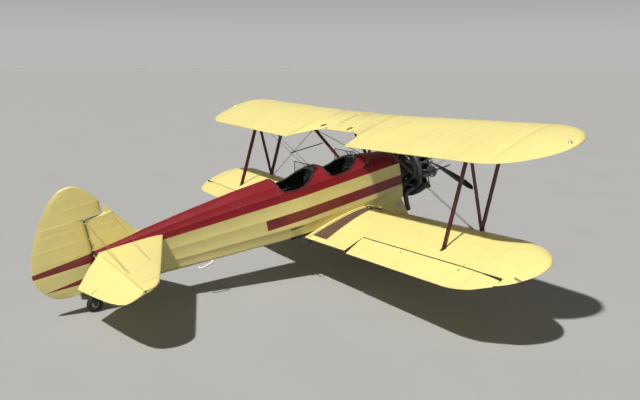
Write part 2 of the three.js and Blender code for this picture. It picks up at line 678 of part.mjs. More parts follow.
function propeller() {
  const hub = turned([[0, 986], [55, 986], [62, 1000], [62, 1075], [40, 1110], [28, 1150], [28, 1160],
    [0, 1160]], 'x', 14);
  // blade rows: radius, chord, thickness, angle to the disc
  const rows = [[50, 70, 60, 50], [200, 95, 45, 42], [450, 165, 26, 31], [800, 180, 18, 22],
    [1120, 150, 12, 16], [1250, 105, 9, 14], [PROP.radius, 50, 6, 14]];
  const blade = loft(rows.map(([r, chord, thick, angle]) => Array.from({ length: 10 }, (_, i) => {
    const t = 2 * Math.PI * (i + 0.5) / 10;
    const [along, out] = [chord / 2 * Math.cos(t), thick / 2 * Math.sin(t)];
    const a = rad(angle);
    return vec(PROP.x + along * Math.sin(a) + out * Math.cos(a),
      r, along * Math.cos(a) - out * Math.sin(a));
  })));
  const both = join(hub, blade, blade.clone().rotateX(Math.PI));
  return bare(both).rotateX(rad(PROP.dip));
}

// Undercarriage
const [WHEEL_SEGMENTS, TAIL_SEGMENTS] = [24, 16];
function tire(radius, width, rim, segments) {
  const half = width / 2;
  const profile = [];
  for (let i = 0; i <= 8; i++) {
    const t = Math.PI * i / 8;
    profile.push([lerp(rim, radius, Math.sin(t) ** 0.7), -half * Math.cos(t)]);
  }
  return turned([...profile, profile[0]], 'y', segments);
}

function wheelHub(rim, width, bore, segments) {
  const h = width / 2;
  return turned([[bore, -h], [rim * 0.5, -h], [rim * 0.75, -h * 0.7], [rim - GAP, -h * 0.95],
    [rim - GAP, h * 0.95], [rim * 0.75, h * 0.7], [rim * 0.5, h], [bore, h], [bore, -h]], 'y', segments);
}

function gearLeg() {
  const { x, y, z } = WHEEL;
  const [knee, ankle] = [vec(-280, 800, -1170), vec(x, 815, z)];
  const axle = rod(vec(x, 760, z), vec(x, y + 90, z), 20, 10);
  const fairing = strut(vec(-215, 320, -400), knee, 430, 120, 16, 0.62);
  const sleeve = strut(knee.clone().lerp(ankle, -0.25), ankle, 120, 90, 12, 0.8);
  return cut(join(axle, fairing, sleeve), outerFuselage());
}

// Tail wheel height follows from the ground line under the main wheels
const [SIN, COS] = [Math.sin(GROUND_ANGLE), Math.cos(GROUND_ANGLE)];
const GROUND = WHEEL.x * SIN + WHEEL.z * COS - WHEEL.tireR;
const TAIL_WHEEL_Z = (GROUND + TAIL_WHEEL.tireR - TAIL_WHEEL.x * SIN) / COS;
const FORK_X = -5830;

function tailArm() {
  const leg = strut(vec(-5560, 0, -150), vec(FORK_X, 0, -172), 40, 36, 10);
  const boss = rod(vec(FORK_X, 0, -152), vec(FORK_X, 0, -195), 34, 12);
  return cut(join(leg, boss), outerFuselage());
}

function tailFork() {
  const z = TAIL_WHEEL_Z;
  const half = TAIL_WHEEL.tireW / 2;
  const crown = box(TAIL_WHEEL.x - 20, FORK_X + 40, -half - 18, half + 18, -216, -196);
  const arms = [1, -1].map(s => plateXZ([[FORK_X + 20, -200], [TAIL_WHEEL.x - 20, -200],
    [TAIL_WHEEL.x - 25, z - 22], [TAIL_WHEEL.x + 25, z - 22]], s > 0 ? half + 6 : -half - 18,
  s > 0 ? half + 18 : -half - 6));
  const pin = rod(vec(TAIL_WHEEL.x, -half - 16, z), vec(TAIL_WHEEL.x, half + 16, z), 9, 10);
  return join(crown, ...arms, pin);
}

const place = (mesh, x, y, z) => {
  mesh.position.set(x, y, z);
  return mesh;
};

// The whole aircraft in its own axes
const aircraft = new THREE.Group();
aircraft.add(
  piece('fuselage_rear', 'cream', rearFuselage()),
  piece('cockpit_tub', 'cream', common(cockpitShell(), below(WAIST_Z - GAP / 2))),
  piece('cockpit_deck', 'maroon', common(cockpitShell(), above(WAIST_Z + GAP / 2))),
  piece('nose_section', 'cream', fuselagePart(FIREWALL_X, COCKPIT_FRONT_X)),
  piece('engine', 'engine_metal', engine()),
  piece('engine_mount', 'black', engineMount()),
  piece('accessory_case', 'black', accessoryCase()),
  piece('exhaust', 'exhaust_metal', exhaust()),
  piece('propeller', 'black', propeller()),
  piece('wing_center', 'cream', centreSection()),
  piece('fin', 'cream', fin()),
  piece('rudder', 'cream', rudder()),
  piece('tail_arm', 'black', tailArm()),
  piece('tail_fork', 'black', tailFork()),
  piece('windshield_front', 'glass', windshield(-790)),
  piece('windshield_rear', 'glass', windshield(-1690)),
  piece('panel_front', 'black', instrumentPanel(-806)),
  piece('panel_rear', 'black', instrumentPanel(-1702)),
  piece('seat_front', 'interior', seat(-1400)),
  piece('seat_rear', 'interior', seat(-2330)),
  piece('cushion_front', 'leather', seatCushion(-1400)),
  piece('cushion_rear', 'leather', seatCushion(-2330)),
  piece('stick_front', 'black', rod(vec(-1130, 0, floorAt(-1130)), vec(-1130, 0, 150), 14)),
  piece('stick_rear', 'black', rod(vec(-2060, 0, floorAt(-2060)), vec(-2060, 0, 150), 14)),
  place(piece('tail_tire', 'rubber', tire(TAIL_WHEEL.tireR, TAIL_WHEEL.tireW, 60, TAIL_SEGMENTS)),
    TAIL_WHEEL.x, 0, TAIL_WHEEL_Z),
  place(piece('tail_hub', 'engine_metal', wheelHub(60, 60, 10, TAIL_SEGMENTS)),
    TAIL_WHEEL.x, 0, TAIL_WHEEL_Z),
);
for (const [side, s] of SIDES) {
  aircraft.add(
    panelGroup(UPPER, s, piece(`upper_wing_${side}`, 'cream', onSide(s, wingPanel(UPPER, UPPER.inner + 5)))),
    panelGroup(LOWER, s, piece(`lower_wing_${side}`, 'cream', onSide(s, lowerWing())),
      aileronGroup(s, piece(`aileron_${side}`, 'cream', onSide(s, aileron())))),
    piece(`cabane_${side}`, 'strut_red', onSide(s, cabane())),
    piece(`interplane_${side}`, 'strut_red', onSide(s, interplaneStruts())),
    piece(`stabilizer_${side}`, 'cream', onSide(s, stabilizer())),
    droop(piece(`elevator_${side}`, 'cream', onSide(s, elevator()))),
    piece(`gear_leg_${side}`, 'cream', onSide(s, gearLeg())),
    place(piece(`tire_${side}`, 'rubber', tire(WHEEL.tireR, WHEEL.tireW, WHEEL.rimR, WHEEL_SEGMENTS)),
      WHEEL.x, s * WHEEL.y, WHEEL.z),
    place(piece(`wheel_${side}`, 'cream', wheelHub(WHEEL.rimR, 150, 21, WHEEL_SEGMENTS)),
      WHEEL.x, s * WHEEL.y, WHEEL.z),
  );
  for (const [name, a, b] of stays()) {
    aircraft.add(piece(`${name}_${side}`, 'wire_steel', onSide(s, strut(a, b, WIRE.chord, WIRE.thick, 6))));
  }
  aircraft.add(piece(`javelin_${side}`, 'wire_steel', onSide(s, javelin())));
}

// Parked on the ground, its origin under the middle of its length
const NOSE_X = 1160 * COS;
const REAR_X = -6640 * COS - 250 * SIN;
aircraft.rotation.y = -GROUND_ANGLE;
aircraft.position.set(-(NOSE_X + REAR_X) / 2, 0, -GROUND);

const biplane = new THREE.Group();
biplane.add(aircraft);
export default biplane;
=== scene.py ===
import json
import math
import random

import bmesh
import bpy
import numpy as np
from mathutils import Matrix, Vector

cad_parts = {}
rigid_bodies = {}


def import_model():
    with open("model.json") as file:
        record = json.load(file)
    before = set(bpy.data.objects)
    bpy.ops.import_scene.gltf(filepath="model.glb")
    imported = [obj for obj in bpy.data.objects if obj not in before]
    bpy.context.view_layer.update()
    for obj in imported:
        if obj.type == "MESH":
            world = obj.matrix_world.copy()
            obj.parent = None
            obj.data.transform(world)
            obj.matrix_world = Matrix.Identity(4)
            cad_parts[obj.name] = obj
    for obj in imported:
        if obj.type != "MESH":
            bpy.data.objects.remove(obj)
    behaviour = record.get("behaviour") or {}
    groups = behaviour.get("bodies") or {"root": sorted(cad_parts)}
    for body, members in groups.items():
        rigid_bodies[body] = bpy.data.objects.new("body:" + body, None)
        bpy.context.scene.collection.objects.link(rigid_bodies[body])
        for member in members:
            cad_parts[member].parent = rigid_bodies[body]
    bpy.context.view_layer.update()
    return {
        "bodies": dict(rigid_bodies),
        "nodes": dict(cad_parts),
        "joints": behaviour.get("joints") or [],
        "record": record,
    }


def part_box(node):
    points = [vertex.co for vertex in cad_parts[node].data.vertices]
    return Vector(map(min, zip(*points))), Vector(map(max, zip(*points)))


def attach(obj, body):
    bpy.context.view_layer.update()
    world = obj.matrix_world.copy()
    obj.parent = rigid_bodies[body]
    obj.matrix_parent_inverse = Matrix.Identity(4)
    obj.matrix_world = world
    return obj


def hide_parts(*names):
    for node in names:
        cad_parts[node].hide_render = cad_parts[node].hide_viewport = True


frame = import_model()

# Aircraft axes, in metres: x forward from the upper wing's leading edge, y to port, z up from the
# thrust line. TO_ROW takes them to the row frame, and is read from the propeller's joint.
PROP_X = 1.03
spin = next(j for j in frame["joints"] if j["name"] == "propeller_spin")
spin_axis = Vector(spin["axis"])
nose_up = math.atan2(spin_axis.z, spin_axis.x)
TO_ROW = (Matrix.Translation(Vector(spin["pos_m"]) - PROP_X * spin_axis)
          @ Matrix.Rotation(-nose_up, 4, "Y"))

# The object's main sizes, the same as in the CAD source, in metres and degrees
CHORD = 1.524
UPPER = dict(semi=4.905, dihedral=1.5, incidence=4, x=0, z=1.15, inner=0.96, tip=(0.7, 0.95))
LOWER = dict(semi=4.87, dihedral=2, incidence=3, x=-0.726, z=-0.397, inner=0.487, tip=(0.85, 1.02))
LOWER_ROOT = 0.36
TIP_LEAD = 0.62
CUTOUT = dict(flat=0.38, depth=0.59, power=2.6)
AILERON = dict(hinge=1.131, inner=1.616, outer=4.584, cut=0.16, run=0.593, gap=0.01, rest=7)
SPARS = (0.105, 0.889)
STRUT_Y = 3.27
CABANE_SINK = 0.05
PANE = 0.004
WAIST_Z = 0.265
TAIL_POST_X = -5.705
RUDDER_X = -5.745
ELEVATOR = dict(x=-5.66, z=0.332, nose=0.03, droop=25)
ENGINE = dict(x=0.72, case=0.235, head=0.54, cylinders=7)
WHEEL = dict(x=-0.34, y=0.965, z=-1.3565, tire=0.305, width=0.19, rim=0.15)
random.seed(4)


def vec(x, y, z):
    return Vector((x, y, z))


def lerp(a, b, t):
    return a + (b - a) * t


def smooth(t):
    t = max(0.0, min(1.0, t))
    return t * t * (3 - 2 * t)


def circle(count, shift=0.0):
    """Even angles round a full turn."""
    return [2 * math.pi * (i + shift) / count for i in range(count)]


# Materials
def connect(m, socket, value):
    """Gives a node's input a value, another node's output, or a whole node's first output."""
    if isinstance(value, bpy.types.Node):
        value = value.outputs[0]
    if isinstance(value, bpy.types.NodeSocket):
        m.node_tree.links.new(value, socket)
    else:
        socket.default_value = value


def plug(m, node, **inputs):
    """Sets a node's inputs by name, with a low line for each space."""
    for name, value in inputs.items():
        connect(m, node.inputs[name.replace("_", " ")], value)
    return node


def add_node(m, kind, **inputs):
    return plug(m, m.node_tree.nodes.new("ShaderNode" + kind), **inputs)


def math_node(m, kind, *values):
    made = add_node(m, "Math")
    made.operation = kind
    for socket, value in zip(made.inputs, values):
        connect(m, socket, value)
    return made


def ramp(m, source, stops):
    made = add_node(m, "ValToRGB", Fac=source)
    while len(made.color_ramp.elements) < len(stops):
        made.color_ramp.elements.new(0.5)
    for e, (at, color) in zip(made.color_ramp.elements, stops):
        e.position = at
        e.color = (*color, 1)
    return made


def shade(color, factor):
    return tuple(min(1, c * factor) for c in color)


def shader(name):
    m = bpy.data.materials.new(name)
    m.use_nodes = True
    nodes = m.node_tree.nodes
    return m, nodes["Principled BSDF"], add_node(m, "TexCoord").outputs["Object"]


def finish(name, color, rough, metal=0.0, coat=0.0, vary=0.12, scale=3.0, grain=120.0, bump=0.15,
           wear=None, sheen=0.0, streak=(1, 1, 1)):
    """Paint, metal, fabric or rubber: broad colour variation, fine grain in the bump and the gloss."""
    m, bsdf, place = shader(name)
    stretched = add_node(m, "Mapping", Vector=place, Scale=streak)
    broad = add_node(m, "TexNoise", Vector=stretched, Scale=scale, Detail=7, Roughness=0.62)
    fine = add_node(m, "TexNoise", Vector=place, Scale=grain, Detail=3)
    stops = [(0.28, shade(color, 1 - vary)), (0.5, color), (0.72, shade(color, 1 + vary * 0.5))]
    if wear:
        stops.append((0.8, wear))
    gloss = add_node(m, "MapRange", Value=broad, To_Min=max(0.02, rough - 0.09), To_Max=min(1, rough + 0.09))
    plug(m, bsdf, Base_Color=ramp(m, broad, stops), Roughness=gloss, Metallic=metal, Coat_Weight=coat,
         Coat_Roughness=0.12, Sheen_Weight=sheen,
         Normal=add_node(m, "Bump", Height=fine, Strength=bump, Distance=0.002))
    return m


def weave(m):
    """Adds the cloth's threads and the slow ripple of doped fabric to a material's bump."""
    nodes = m.node_tree.nodes
    place = nodes["Texture Coordinate"].outputs["Object"]
    waves = [add_node(m, "TexWave", Vector=place, Scale=THREAD_SCALE, Distortion=0.6) for _ in range(2)]
    for wave, axis in zip(waves, "XY"):
        wave.bands_direction = axis
    cloth = math_node(m, "ADD", *[wave.outputs["Fac"] for wave in waves])
    slow = add_node(m, "TexNoise", Vector=place, Scale=5)
    ripple = add_node(m, "Bump", Height=slow, Strength=0.25, Distance=0.01)
    threads = add_node(m, "Bump", Height=cloth, Normal=ripple, Strength=0.12, Distance=0.0004)
    plug(m, nodes["Bump"], Normal=threads)
    return m


def glass_material():
    m, bsdf, place = shader("clear_pane")
    dust = add_node(m, "TexNoise", Vector=place, Scale=9, Detail=8)
    plug(m, bsdf, Roughness=add_node(m, "MapRange", Value=dust, To_Min=0.02, To_Max=0.13),
         Base_Color=ramp(m, dust, [(0.35, (0.86, 0.9, 0.9)), (0.75, (0.78, 0.83, 0.82))]),
         Transmission_Weight=1.0, IOR=1.2)
    return m


THREAD_SCALE = 31.25
STREAKS = 2.2
CREAM = (0.72, 0.625, 0.235)
TAPE = (0.735, 0.64, 0.245)
MAROON = (0.2, 0.009, 0.014)
cream = weave(finish("cream_fabric", CREAM, 0.42, coat=0.25, vary=0.05, scale=1.6))
tape = weave(finish("cream_tape", TAPE, 0.38, coat=0.25, vary=0.05, scale=4))
cream_metal = finish("cream_paint", CREAM, 0.34, coat=0.5, vary=0.06, scale=2.5, bump=0.05)
maroon = finish("maroon_paint", MAROON, 0.32, coat=0.25, vary=0.18, scale=STREAKS, bump=0.05)
maroon_fabric = weave(finish("maroon_fabric", MAROON, 0.5, vary=0.18, scale=STREAKS))
plug(maroon_fabric, maroon_fabric.node_tree.nodes["Principled BSDF"], Specular_IOR_Level=0.25)
# Darker than the deck's maroon: partly the struts' own paint, partly painted shade.
strut_paint = finish("strut_paint", (0.075, 0.006, 0.009), 0.36, coat=0.3, vary=0.25, scale=6)
# Near-black brown: painted shade for the faces inside gaps and slots between parts.
painted_gap_shade = finish("painted_gap_shade", (0.045, 0.036, 0.02), 0.85, vary=0.3, scale=8)
# Cream darkened as painted shade, for thin lines at seams and gaps.
painted_shade_cream = finish("cream_in_painted_shade", (0.22, 0.18, 0.07), 0.7, vary=0.3, scale=8)
white_paint = finish("white_paint", (0.7, 0.68, 0.6), 0.4, coat=0.3, vary=0.12, scale=12)
black = finish("black_paint", (0.012, 0.012, 0.013), 0.38, coat=0.3, vary=0.35, scale=9)
dark = finish("dark_metal", (0.045, 0.047, 0.05), 0.5, metal=0.7, vary=0.4, scale=11, bump=0.3)
steel = finish("brushed_steel", (0.52, 0.52, 0.52), 0.3, metal=1, vary=0.2, scale=14)
head_metal = finish("head_metal", (0.15, 0.15, 0.152), 0.5, metal=0.8, vary=0.4, scale=18, bump=0.4)
alloy = finish("cast_alloy", (0.4, 0.405, 0.41), 0.45, metal=0.85, vary=0.35, scale=16, bump=0.5)
barrel_metal = finish("cylinder_metal", (0.016, 0.016, 0.017), 0.55, metal=0.6, vary=0.5, scale=18, bump=0.4)
pipe_metal = finish("exhaust_steel", (0.11, 0.115, 0.125), 0.46, metal=0.75, vary=0.45, scale=9,
                    wear=(0.16, 0.14, 0.125), bump=0.4)
# Steel darkened as painted shade, for wires that show dark against the ground.
wire_metal = finish("wire_steel", (0.2, 0.2, 0.2), 0.34, metal=0.9, vary=0.15, scale=30)
rubber = finish("rubber", (0.018, 0.018, 0.018), 0.8, vary=0.35, scale=14, bump=0.5)
leather = finish("leather", (0.085, 0.032, 0.016), 0.5, vary=0.3, scale=12, grain=420, bump=0.6, sheen=0.1)
grey_leather = finish("rim_leather", (0.016, 0.01, 0.01), 0.55, vary=0.35, scale=12, grain=420, bump=0.6)
interior = finish("interior_paint", (0.05, 0.06, 0.04), 0.6, vary=0.3, scale=7, bump=0.25)
# Near black: painted shade for the inside of the fuselage and the parts deep in the engine bay.
painted_shade_lining = finish("cockpit_painted_shade", (0.016, 0.018, 0.014), 0.8, vary=0.4, scale=7, bump=0.25)
webbing = finish("webbing", (0.16, 0.15, 0.11), 0.8, vary=0.2, scale=30, grain=600, bump=0.8)
dial_face = finish("dial_face", (0.008, 0.008, 0.009), 0.4, vary=0.3, scale=40)
dial_mark = finish("dial_mark", (0.42, 0.41, 0.36), 0.5, vary=0.1, scale=60)
wood = finish("wood", (0.22, 0.11, 0.045), 0.4, coat=0.4, vary=0.3, scale=6, streak=(1, 6, 6))
grit = finish("walkway_grit", (0.11, 0.055, 0.03), 0.95, vary=0.35, scale=9, grain=700, bump=0.9)
lamp_glass = finish("lamp_glass", (0.5, 0.48, 0.42), 0.12, coat=0.8, vary=0.15, scale=20, bump=0.02)
firewall = finish("firewall_metal", (0.09, 0.09, 0.09), 0.5, metal=0.7, vary=0.35, scale=8, bump=0.3)
glass = glass_material()


# Shapes: points and faces in aircraft axes, with a material number for each face. 0 is a piece's main
# material and 1 its second. These two are a gap's painted shade and the fuselage's inside, near black as
# painted shade.
PAINTED_GAP_SHADE = 2
INSIDE = 3


class Shape:
    def __init__(self):
        self.points, self.faces, self.mats = [], [], []

    def add(self, points, faces, mats=0):
        base = len(self.points)
        self.points += [tuple(p) for p in points]
        self.faces += [tuple(base + i for i in f) for f in faces]
        self.mats += list(mats) if isinstance(mats, (list, tuple)) else [mats] * len(faces)
        return self

    def loft(self, rings, mats=0, dark=(), ends=(None, None)):
        """Rings of points, all with one count. mats is one number, one for each gap between rings, or
        a list round each gap. dark holds the places round the ring that get a gap's painted shade, and
        ends gives the caps theirs."""
        n = len(rings[0])
        faces, marks = [], []
        for r in range(len(rings) - 1):
            mark = mats[r] if isinstance(mats, (list, tuple)) else mats
            for i in range(n):
                a, b = r * n + i, r * n + (i + 1) % n
                faces.append((a, b, b + n, a + n))
                marks.append(PAINTED_GAP_SHADE if i in dark else mark[i] if isinstance(mark, list) else mark)
        last = (len(rings) - 1) * n
        faces += [tuple(range(n)), tuple(last + i for i in range(n))]
        marks += [m if e is None else e for m, e in zip((marks[0], marks[-1]), ends)]
        return self.add([p for r in rings for p in r], faces, marks)

    def join(self, *others, matrix=None):
        for other in others:
            points = other.points if matrix is None else [matrix @ Vector(p) for p in other.points]
            self.add(points, other.faces, other.mats)
        return self

    def mirrored(self):
        return Shape().add([(x, -y, z) for x, y, z in self.points],
                           [tuple(reversed(f)) for f in self.faces], self.mats)

    def moved(self, matrix):
        return Shape().join(self, matrix=matrix)


def mesh_object(name, shape, materials=()):
    mesh = bpy.data.meshes.new(name)
    mesh.from_pydata([TO_ROW @ Vector(p) for p in shape.points], [], shape.faces)
    for m in materials:
        mesh.materials.append(m)
    mesh.polygons.foreach_set("material_index", np.array(shape.mats, np.int32))
    b = bmesh.new()
    b.from_mesh(mesh)
    bmesh.ops.recalc_face_normals(b, faces=b.faces)
    b.to_mesh(mesh)
    b.free()
    return link(name, mesh)


def link(name, data):
    o = bpy.data.objects.new(name, data)
    bpy.context.scene.collection.objects.link(o)
    return o


def piece(name, shape, materials, replaces=(), body="airframe", sharp=None):
    o = mesh_object(name, shape, materials if isinstance(materials, tuple) else (materials,))
    o.data.shade_smooth()
    o.data.set_sharp_from_angle(angle=math.radians(sharp or SMOOTH_UNDER))
    if replaces:
        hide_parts(*replaces)
    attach(o, body)
    return o


SIDES = (("left", 1), ("right", -1))
BOTH = (-1, 1)
SMOOTH_UNDER = 38
CLOTH_SMOOTH_UNDER = 9


def on_side(side, shape):
    return shape if side > 0 else shape.mirrored()


def pair(name, shape, materials, replaces=None, body="airframe"):
    """A piece to port and its mirror image to starboard."""
    for side, s in SIDES:
        gone = (f"{replaces}_{side}",) if replaces else ()
        piece(f"{name}_{side}", on_side(s, shape), materials, gone, body)


def about(point, turn):
    """A turn about a point."""
    place = Matrix.Translation(point)
    return place @ turn @ place.inverted()


EDGE_SHARE = 0.12


def box(x0, x1, y0, y1, z0, z1):
    """A block with its edges taken off."""
    e = EDGE_SHARE * min(x1 - x0, y1 - y0, z1 - z0)

    def ring(z, inset):
        a, b, c, d = x0 + inset, x1 - inset, y0 + inset, y1 - inset
        return [vec(a + e, c, z), vec(b - e, c, z), vec(b, c + e, z), vec(b, d - e, z), vec(b - e, d, z),
                vec(a + e, d, z), vec(a, d - e, z), vec(a, c + e, z)]

    return Shape().loft([ring(z0, e), ring(z0 + e, 0), ring(z1 - e, 0), ring(z1, e)])


def block(at, x, y, z):
    """A block about its centre. Each size is the way out to both sides, or a pair (low, high)."""
    spans = [v if isinstance(v, tuple) else (-v, v) for v in (x, y, z)]
    return box(*[c + d for c, span in zip(at, spans) for d in span])


def directions(points):
    """The way along a line at each of its points."""
    last = len(points) - 1
    return [(points[min(i + 1, last)] - points[max(i - 1, 0)]).normalized() for i in range(last + 1)]


def tube(points, r, sides):
    """A round tube along points. r is one radius, or one for each point."""
    pts = [Vector(p) for p in points]
    radii = r if isinstance(r, (list, tuple)) else [r] * len(pts)
    rings, side = [], None
    for p, along, radius in zip(pts, directions(pts), radii):
        if side is None:
            side = along.orthogonal().normalized()
        side = (side - along * side.dot(along)).normalized()
        up = along.cross(side)
        rings.append([p + (side * math.cos(t) + up * math.sin(t)) * radius for t in circle(sides)])
    return Shape().loft(rings)


def curve(points, steps):
    """A smooth line through points."""
    p = [Vector(q) for q in points]
    p = [p[0] * 2 - p[1]] + p + [p[-1] * 2 - p[-2]]
    made = []
    for i in range(1, len(p) - 2):
        a, b, c, d = p[i - 1:i + 3]
        for k in range(steps):
            t = k / steps
            made.append(0.5 * (2 * b + (c - a) * t + (2 * a - 5 * b + 4 * c - d) * t ** 2
                               + (3 * b - a - 3 * c + d) * t ** 3))
    return made + [p[-2]]


def pipe(points, steps, r, sides):
    """A tube on the smooth line through points."""
    return tube(curve(points, steps), r, sides)


def turned(profile, axis, segments, centre=(0, 0, 0)):
    """A round piece about the x, y or z axis from a closed profile of (radius, distance)."""
    place = {"x": lambda r, d, c, s: vec(d, r * c, r * s), "y": lambda r, d, c, s: vec(r * c, d, r * s),
             "z": lambda r, d, c, s: vec(r * c, r * s, d)}[axis]
    points = [place(max(r, 1e-4), d, math.cos(t), math.sin(t)) + Vector(centre)
              for t in circle(segments) for r, d in profile]
    n, faces = len(profile), []
    for k in range(segments):
        here, there = k * n, (k + 1) % segments * n
        faces += [(here + i, here + (i + 1) % n, there + (i + 1) % n, there + i) for i in range(n)]
    return Shape().add(points, faces)


def strut(a, b, chord, thick, sides, taper=1.0, drop=0.35):
    """A streamlined strut: its long way lies fore and aft, blunt in front and thin behind."""
    along = (b - a).normalized()
    fore = vec(1, 0, 0) - along * along.x
    if fore.length < 0.05:
        fore = vec(0, 0, 1) - along * along.z
    fore.normalize()
    side = along.cross(fore)

    def ring(centre, scale):
        return [centre + fore * (scale * chord / 2 * math.cos(t))
                + side * (scale * thick / 2 * math.sin(t) * (1 + drop * (math.cos(t) - 1) / 2))
                for t in circle(sides, 0.5)]

    return Shape().loft([ring(a, 1), ring(a.lerp(b, 0.5), (1 + taper) / 2), ring(b, taper)])


def bolt(at, out, r, length):
    """A six-sided bolt head standing on a surface."""
    at, out = Vector(at), Vector(out).normalized()
    side = out.orthogonal().normalized()
    up = out.cross(side)
    return Shape().loft([[at + out * h + (side * math.cos(t) + up * math.sin(t)) * r * k for t in circle(6)]
                         for h, k in ((-0.002, 1), (length * 0.8, 1), (length, 0.8))])


# Wing sections
THICKNESS = 0.13


def foil(share, upper):
    """Height of a cambered section's upper or lower side, at a share of the chord."""
    half = 5 * THICKNESS * (0.2969 * math.sqrt(share) - 0.126 * share - 0.3516 * share ** 2
                       + 0.2843 * share ** 3 - 0.1036 * share ** 4) + 0.002 * share
    p, camber = 0.2, 0.02
    line = (camber / p ** 2 * (2 * p * share - share ** 2) if share < p
            else camber / (1 - p) ** 2 * (1 - 2 * p + 2 * p * share - share ** 2))
    return line + half if upper else line - half


def slope_of(wing):
    angle = math.radians(wing["incidence"])
    return math.cos(angle), math.sin(angle)


def tip_pull(y, wing):
    """How far the round tip draws in the leading and the trailing edge at y."""
    def arc(length, depth):
        t = max(0.0, (y - (wing["semi"] - length)) / length)
        return depth * (1 - math.sqrt(max(0.0, 1 - t * t)))
    return arc(wing["tip"][0], TIP_LEAD), arc(wing["tip"][1], CHORD - TIP_LEAD)


def cloth_share(s):
    """How far the cloth stands free at a share of the chord: not at all at its two edges."""
    return smooth((s - 0.03) / 0.12) * smooth((0.99 - s) / 0.08)


def section_point(wing, y, d, upper, off=0.0, lost=0.0):
    """A point of the wing at y, d behind its straight leading edge, off outwards."""
    lead, trail = tip_pull(y, wing)
    chord = CHORD - lead - trail - lost
    share = max(0.0, min(1.0, (d - lead) / chord))
    close = 1 - 0.95 * min(1, lost / 0.25) * share ** 5
    h = foil(share * chord / (chord + lost), upper) * (chord + lost) * close
    h += (off if upper else -off) * cloth_share(share) * min(1, chord / 0.8)
    c, s = slope_of(wing)
    back = lead + share * chord
    return vec(wing["x"] - back * c + h * s, y, wing["z"] - lead * s - share * chord * s + h * c)


SHARES = [(1 - math.cos(math.pi * i / 19)) / 2 for i in range(20)]
BETWEEN_RIBS = (0.16, 0.33, 0.5, 0.67, 0.84)


def wing_ring(wing, y, off, end=None, lost=0.0):
    """A closed ring at y from the leading edge back to the trailing edge, or to end."""
    lead, trail = tip_pull(y, wing)
    back = min(end or CHORD, CHORD - trail - lost)
    ds = [lead + (back - lead) * s for s in SHARES]
    return ([section_point(wing, y, d, True, off, lost) for d in reversed(ds)]
            + [section_point(wing, y, d, False, off, lost) for d in ds[1:]])


def stations(start, stop, ribs, half=0.018, sag=0.0016, more=()):
    """Positions along a covered surface with how far the cloth stands out there, and whether it is tape."""
    ribs = [r for r in ribs if start + half < r < stop - half]
    edges = [start, *ribs, stop]
    rows = {start: 0.0, stop: 0.0}
    for r in ribs:
        for d, h in ((-half, 0.0002), (-0.004, 0.0003), (0, 0.0006), (0.004, 0.0003), (half, 0.0002)):
            rows[r + d] = h
        rows[r - half - 0.002] = rows[r + half + 0.002] = 0.0
    for a, b in zip(edges, edges[1:]):
        for t in BETWEEN_RIBS:
            rows[lerp(a, b, t)] = -sag * math.sin(math.pi * t) * min(1, (b - a) / 0.25)
    for y in more:
        if start < y < stop:
            rows.setdefault(y, 0.0)
    us = sorted(rows)
    flags = [int(any(abs((a + b) / 2 - r) < half for r in ribs)) for a, b in zip(us, us[1:])]
    return us, [rows[u] for u in us], flags


def evenly(a, b, step):
    n = max(1, round((b - a) / step))
    return [a + (b - a) * i / n for i in range(n + 1)]


def tip_steps(wing):
    length = wing["tip"][1]
    return [wing["semi"] - length + length * math.sin(math.pi / 2 * t) for t in np.linspace(0, 0.992, 26)]


def raise_panel(wing):
    """The dihedral of a wing's port panel."""
    return about((0, wing["inner"], wing["z"]), Matrix.Rotation(math.radians(wing["dihedral"]), 4, "X"))


def upper_panel():
    ribs = evenly(UPPER["inner"] + 0.03, UPPER["semi"] - 0.62, 0.29) + [UPPER["semi"] - 0.33]
    ys, offs, flags = stations(UPPER["inner"] + 0.005, UPPER["semi"] - 0.001, ribs, more=tip_steps(UPPER))
    return Shape().loft([wing_ring(UPPER, y, o) for y, o in zip(ys, offs)], flags)


def cutout_loss(y):
    """The chord that the cut-out over the cockpit takes from the centre section."""
    t = max(0.0, abs(y) - CUTOUT["flat"]) / (UPPER["inner"] - CUTOUT["flat"])
    return CUTOUT["depth"] * (1 - t ** CUTOUT["power"])


def centre_section():
    ys, offs, flags = stations(-UPPER["inner"], UPPER["inner"], (-0.93, -0.62, -0.36, 0.36, 0.62, 0.93),
                               sag=0.001, more=evenly(-0.96, 0.96, 0.05))
    return Shape().loft([wing_ring(UPPER, y, o, lost=cutout_loss(y)) for y, o in zip(ys, offs)], flags)


def aileron_hinge():
    """The hinge line's place at y 0, and the radius of the aileron's nose."""
    share = AILERON["hinge"] / CHORD
    top, low = foil(share, True) * CHORD, foil(share, False) * CHORD
    middle, half = (top + low) / 2, (top - low) / 2
    c, s = slope_of(LOWER)
    return vec(LOWER["x"] - AILERON["hinge"] * c + middle * s, 0,
               LOWER["z"] - AILERON["hinge"] * s + middle * c), half - 0.004


def aileron_rest(side):
    """Puts an aileron, built to port, at its rest: the port one stands up, the starboard one hangs down."""
    turn = Matrix.Rotation(side * math.radians(AILERON["rest"]), 4, "Y")
    return raise_panel(LOWER) @ about(aileron_hinge()[0], turn)


def slanted(p, share):
    """A point behind the hinge line, moved inboard with the aileron's slanted outer end."""
    behind = max(0.0, (LOWER["x"] - p.x - AILERON["hinge"]) / AILERON["run"])
    return vec(p.x, p.y - AILERON["cut"] * min(1, behind) * share, p.z)


LOWER_RIBS = evenly(0.62, 4.25, 0.28) + [4.47]


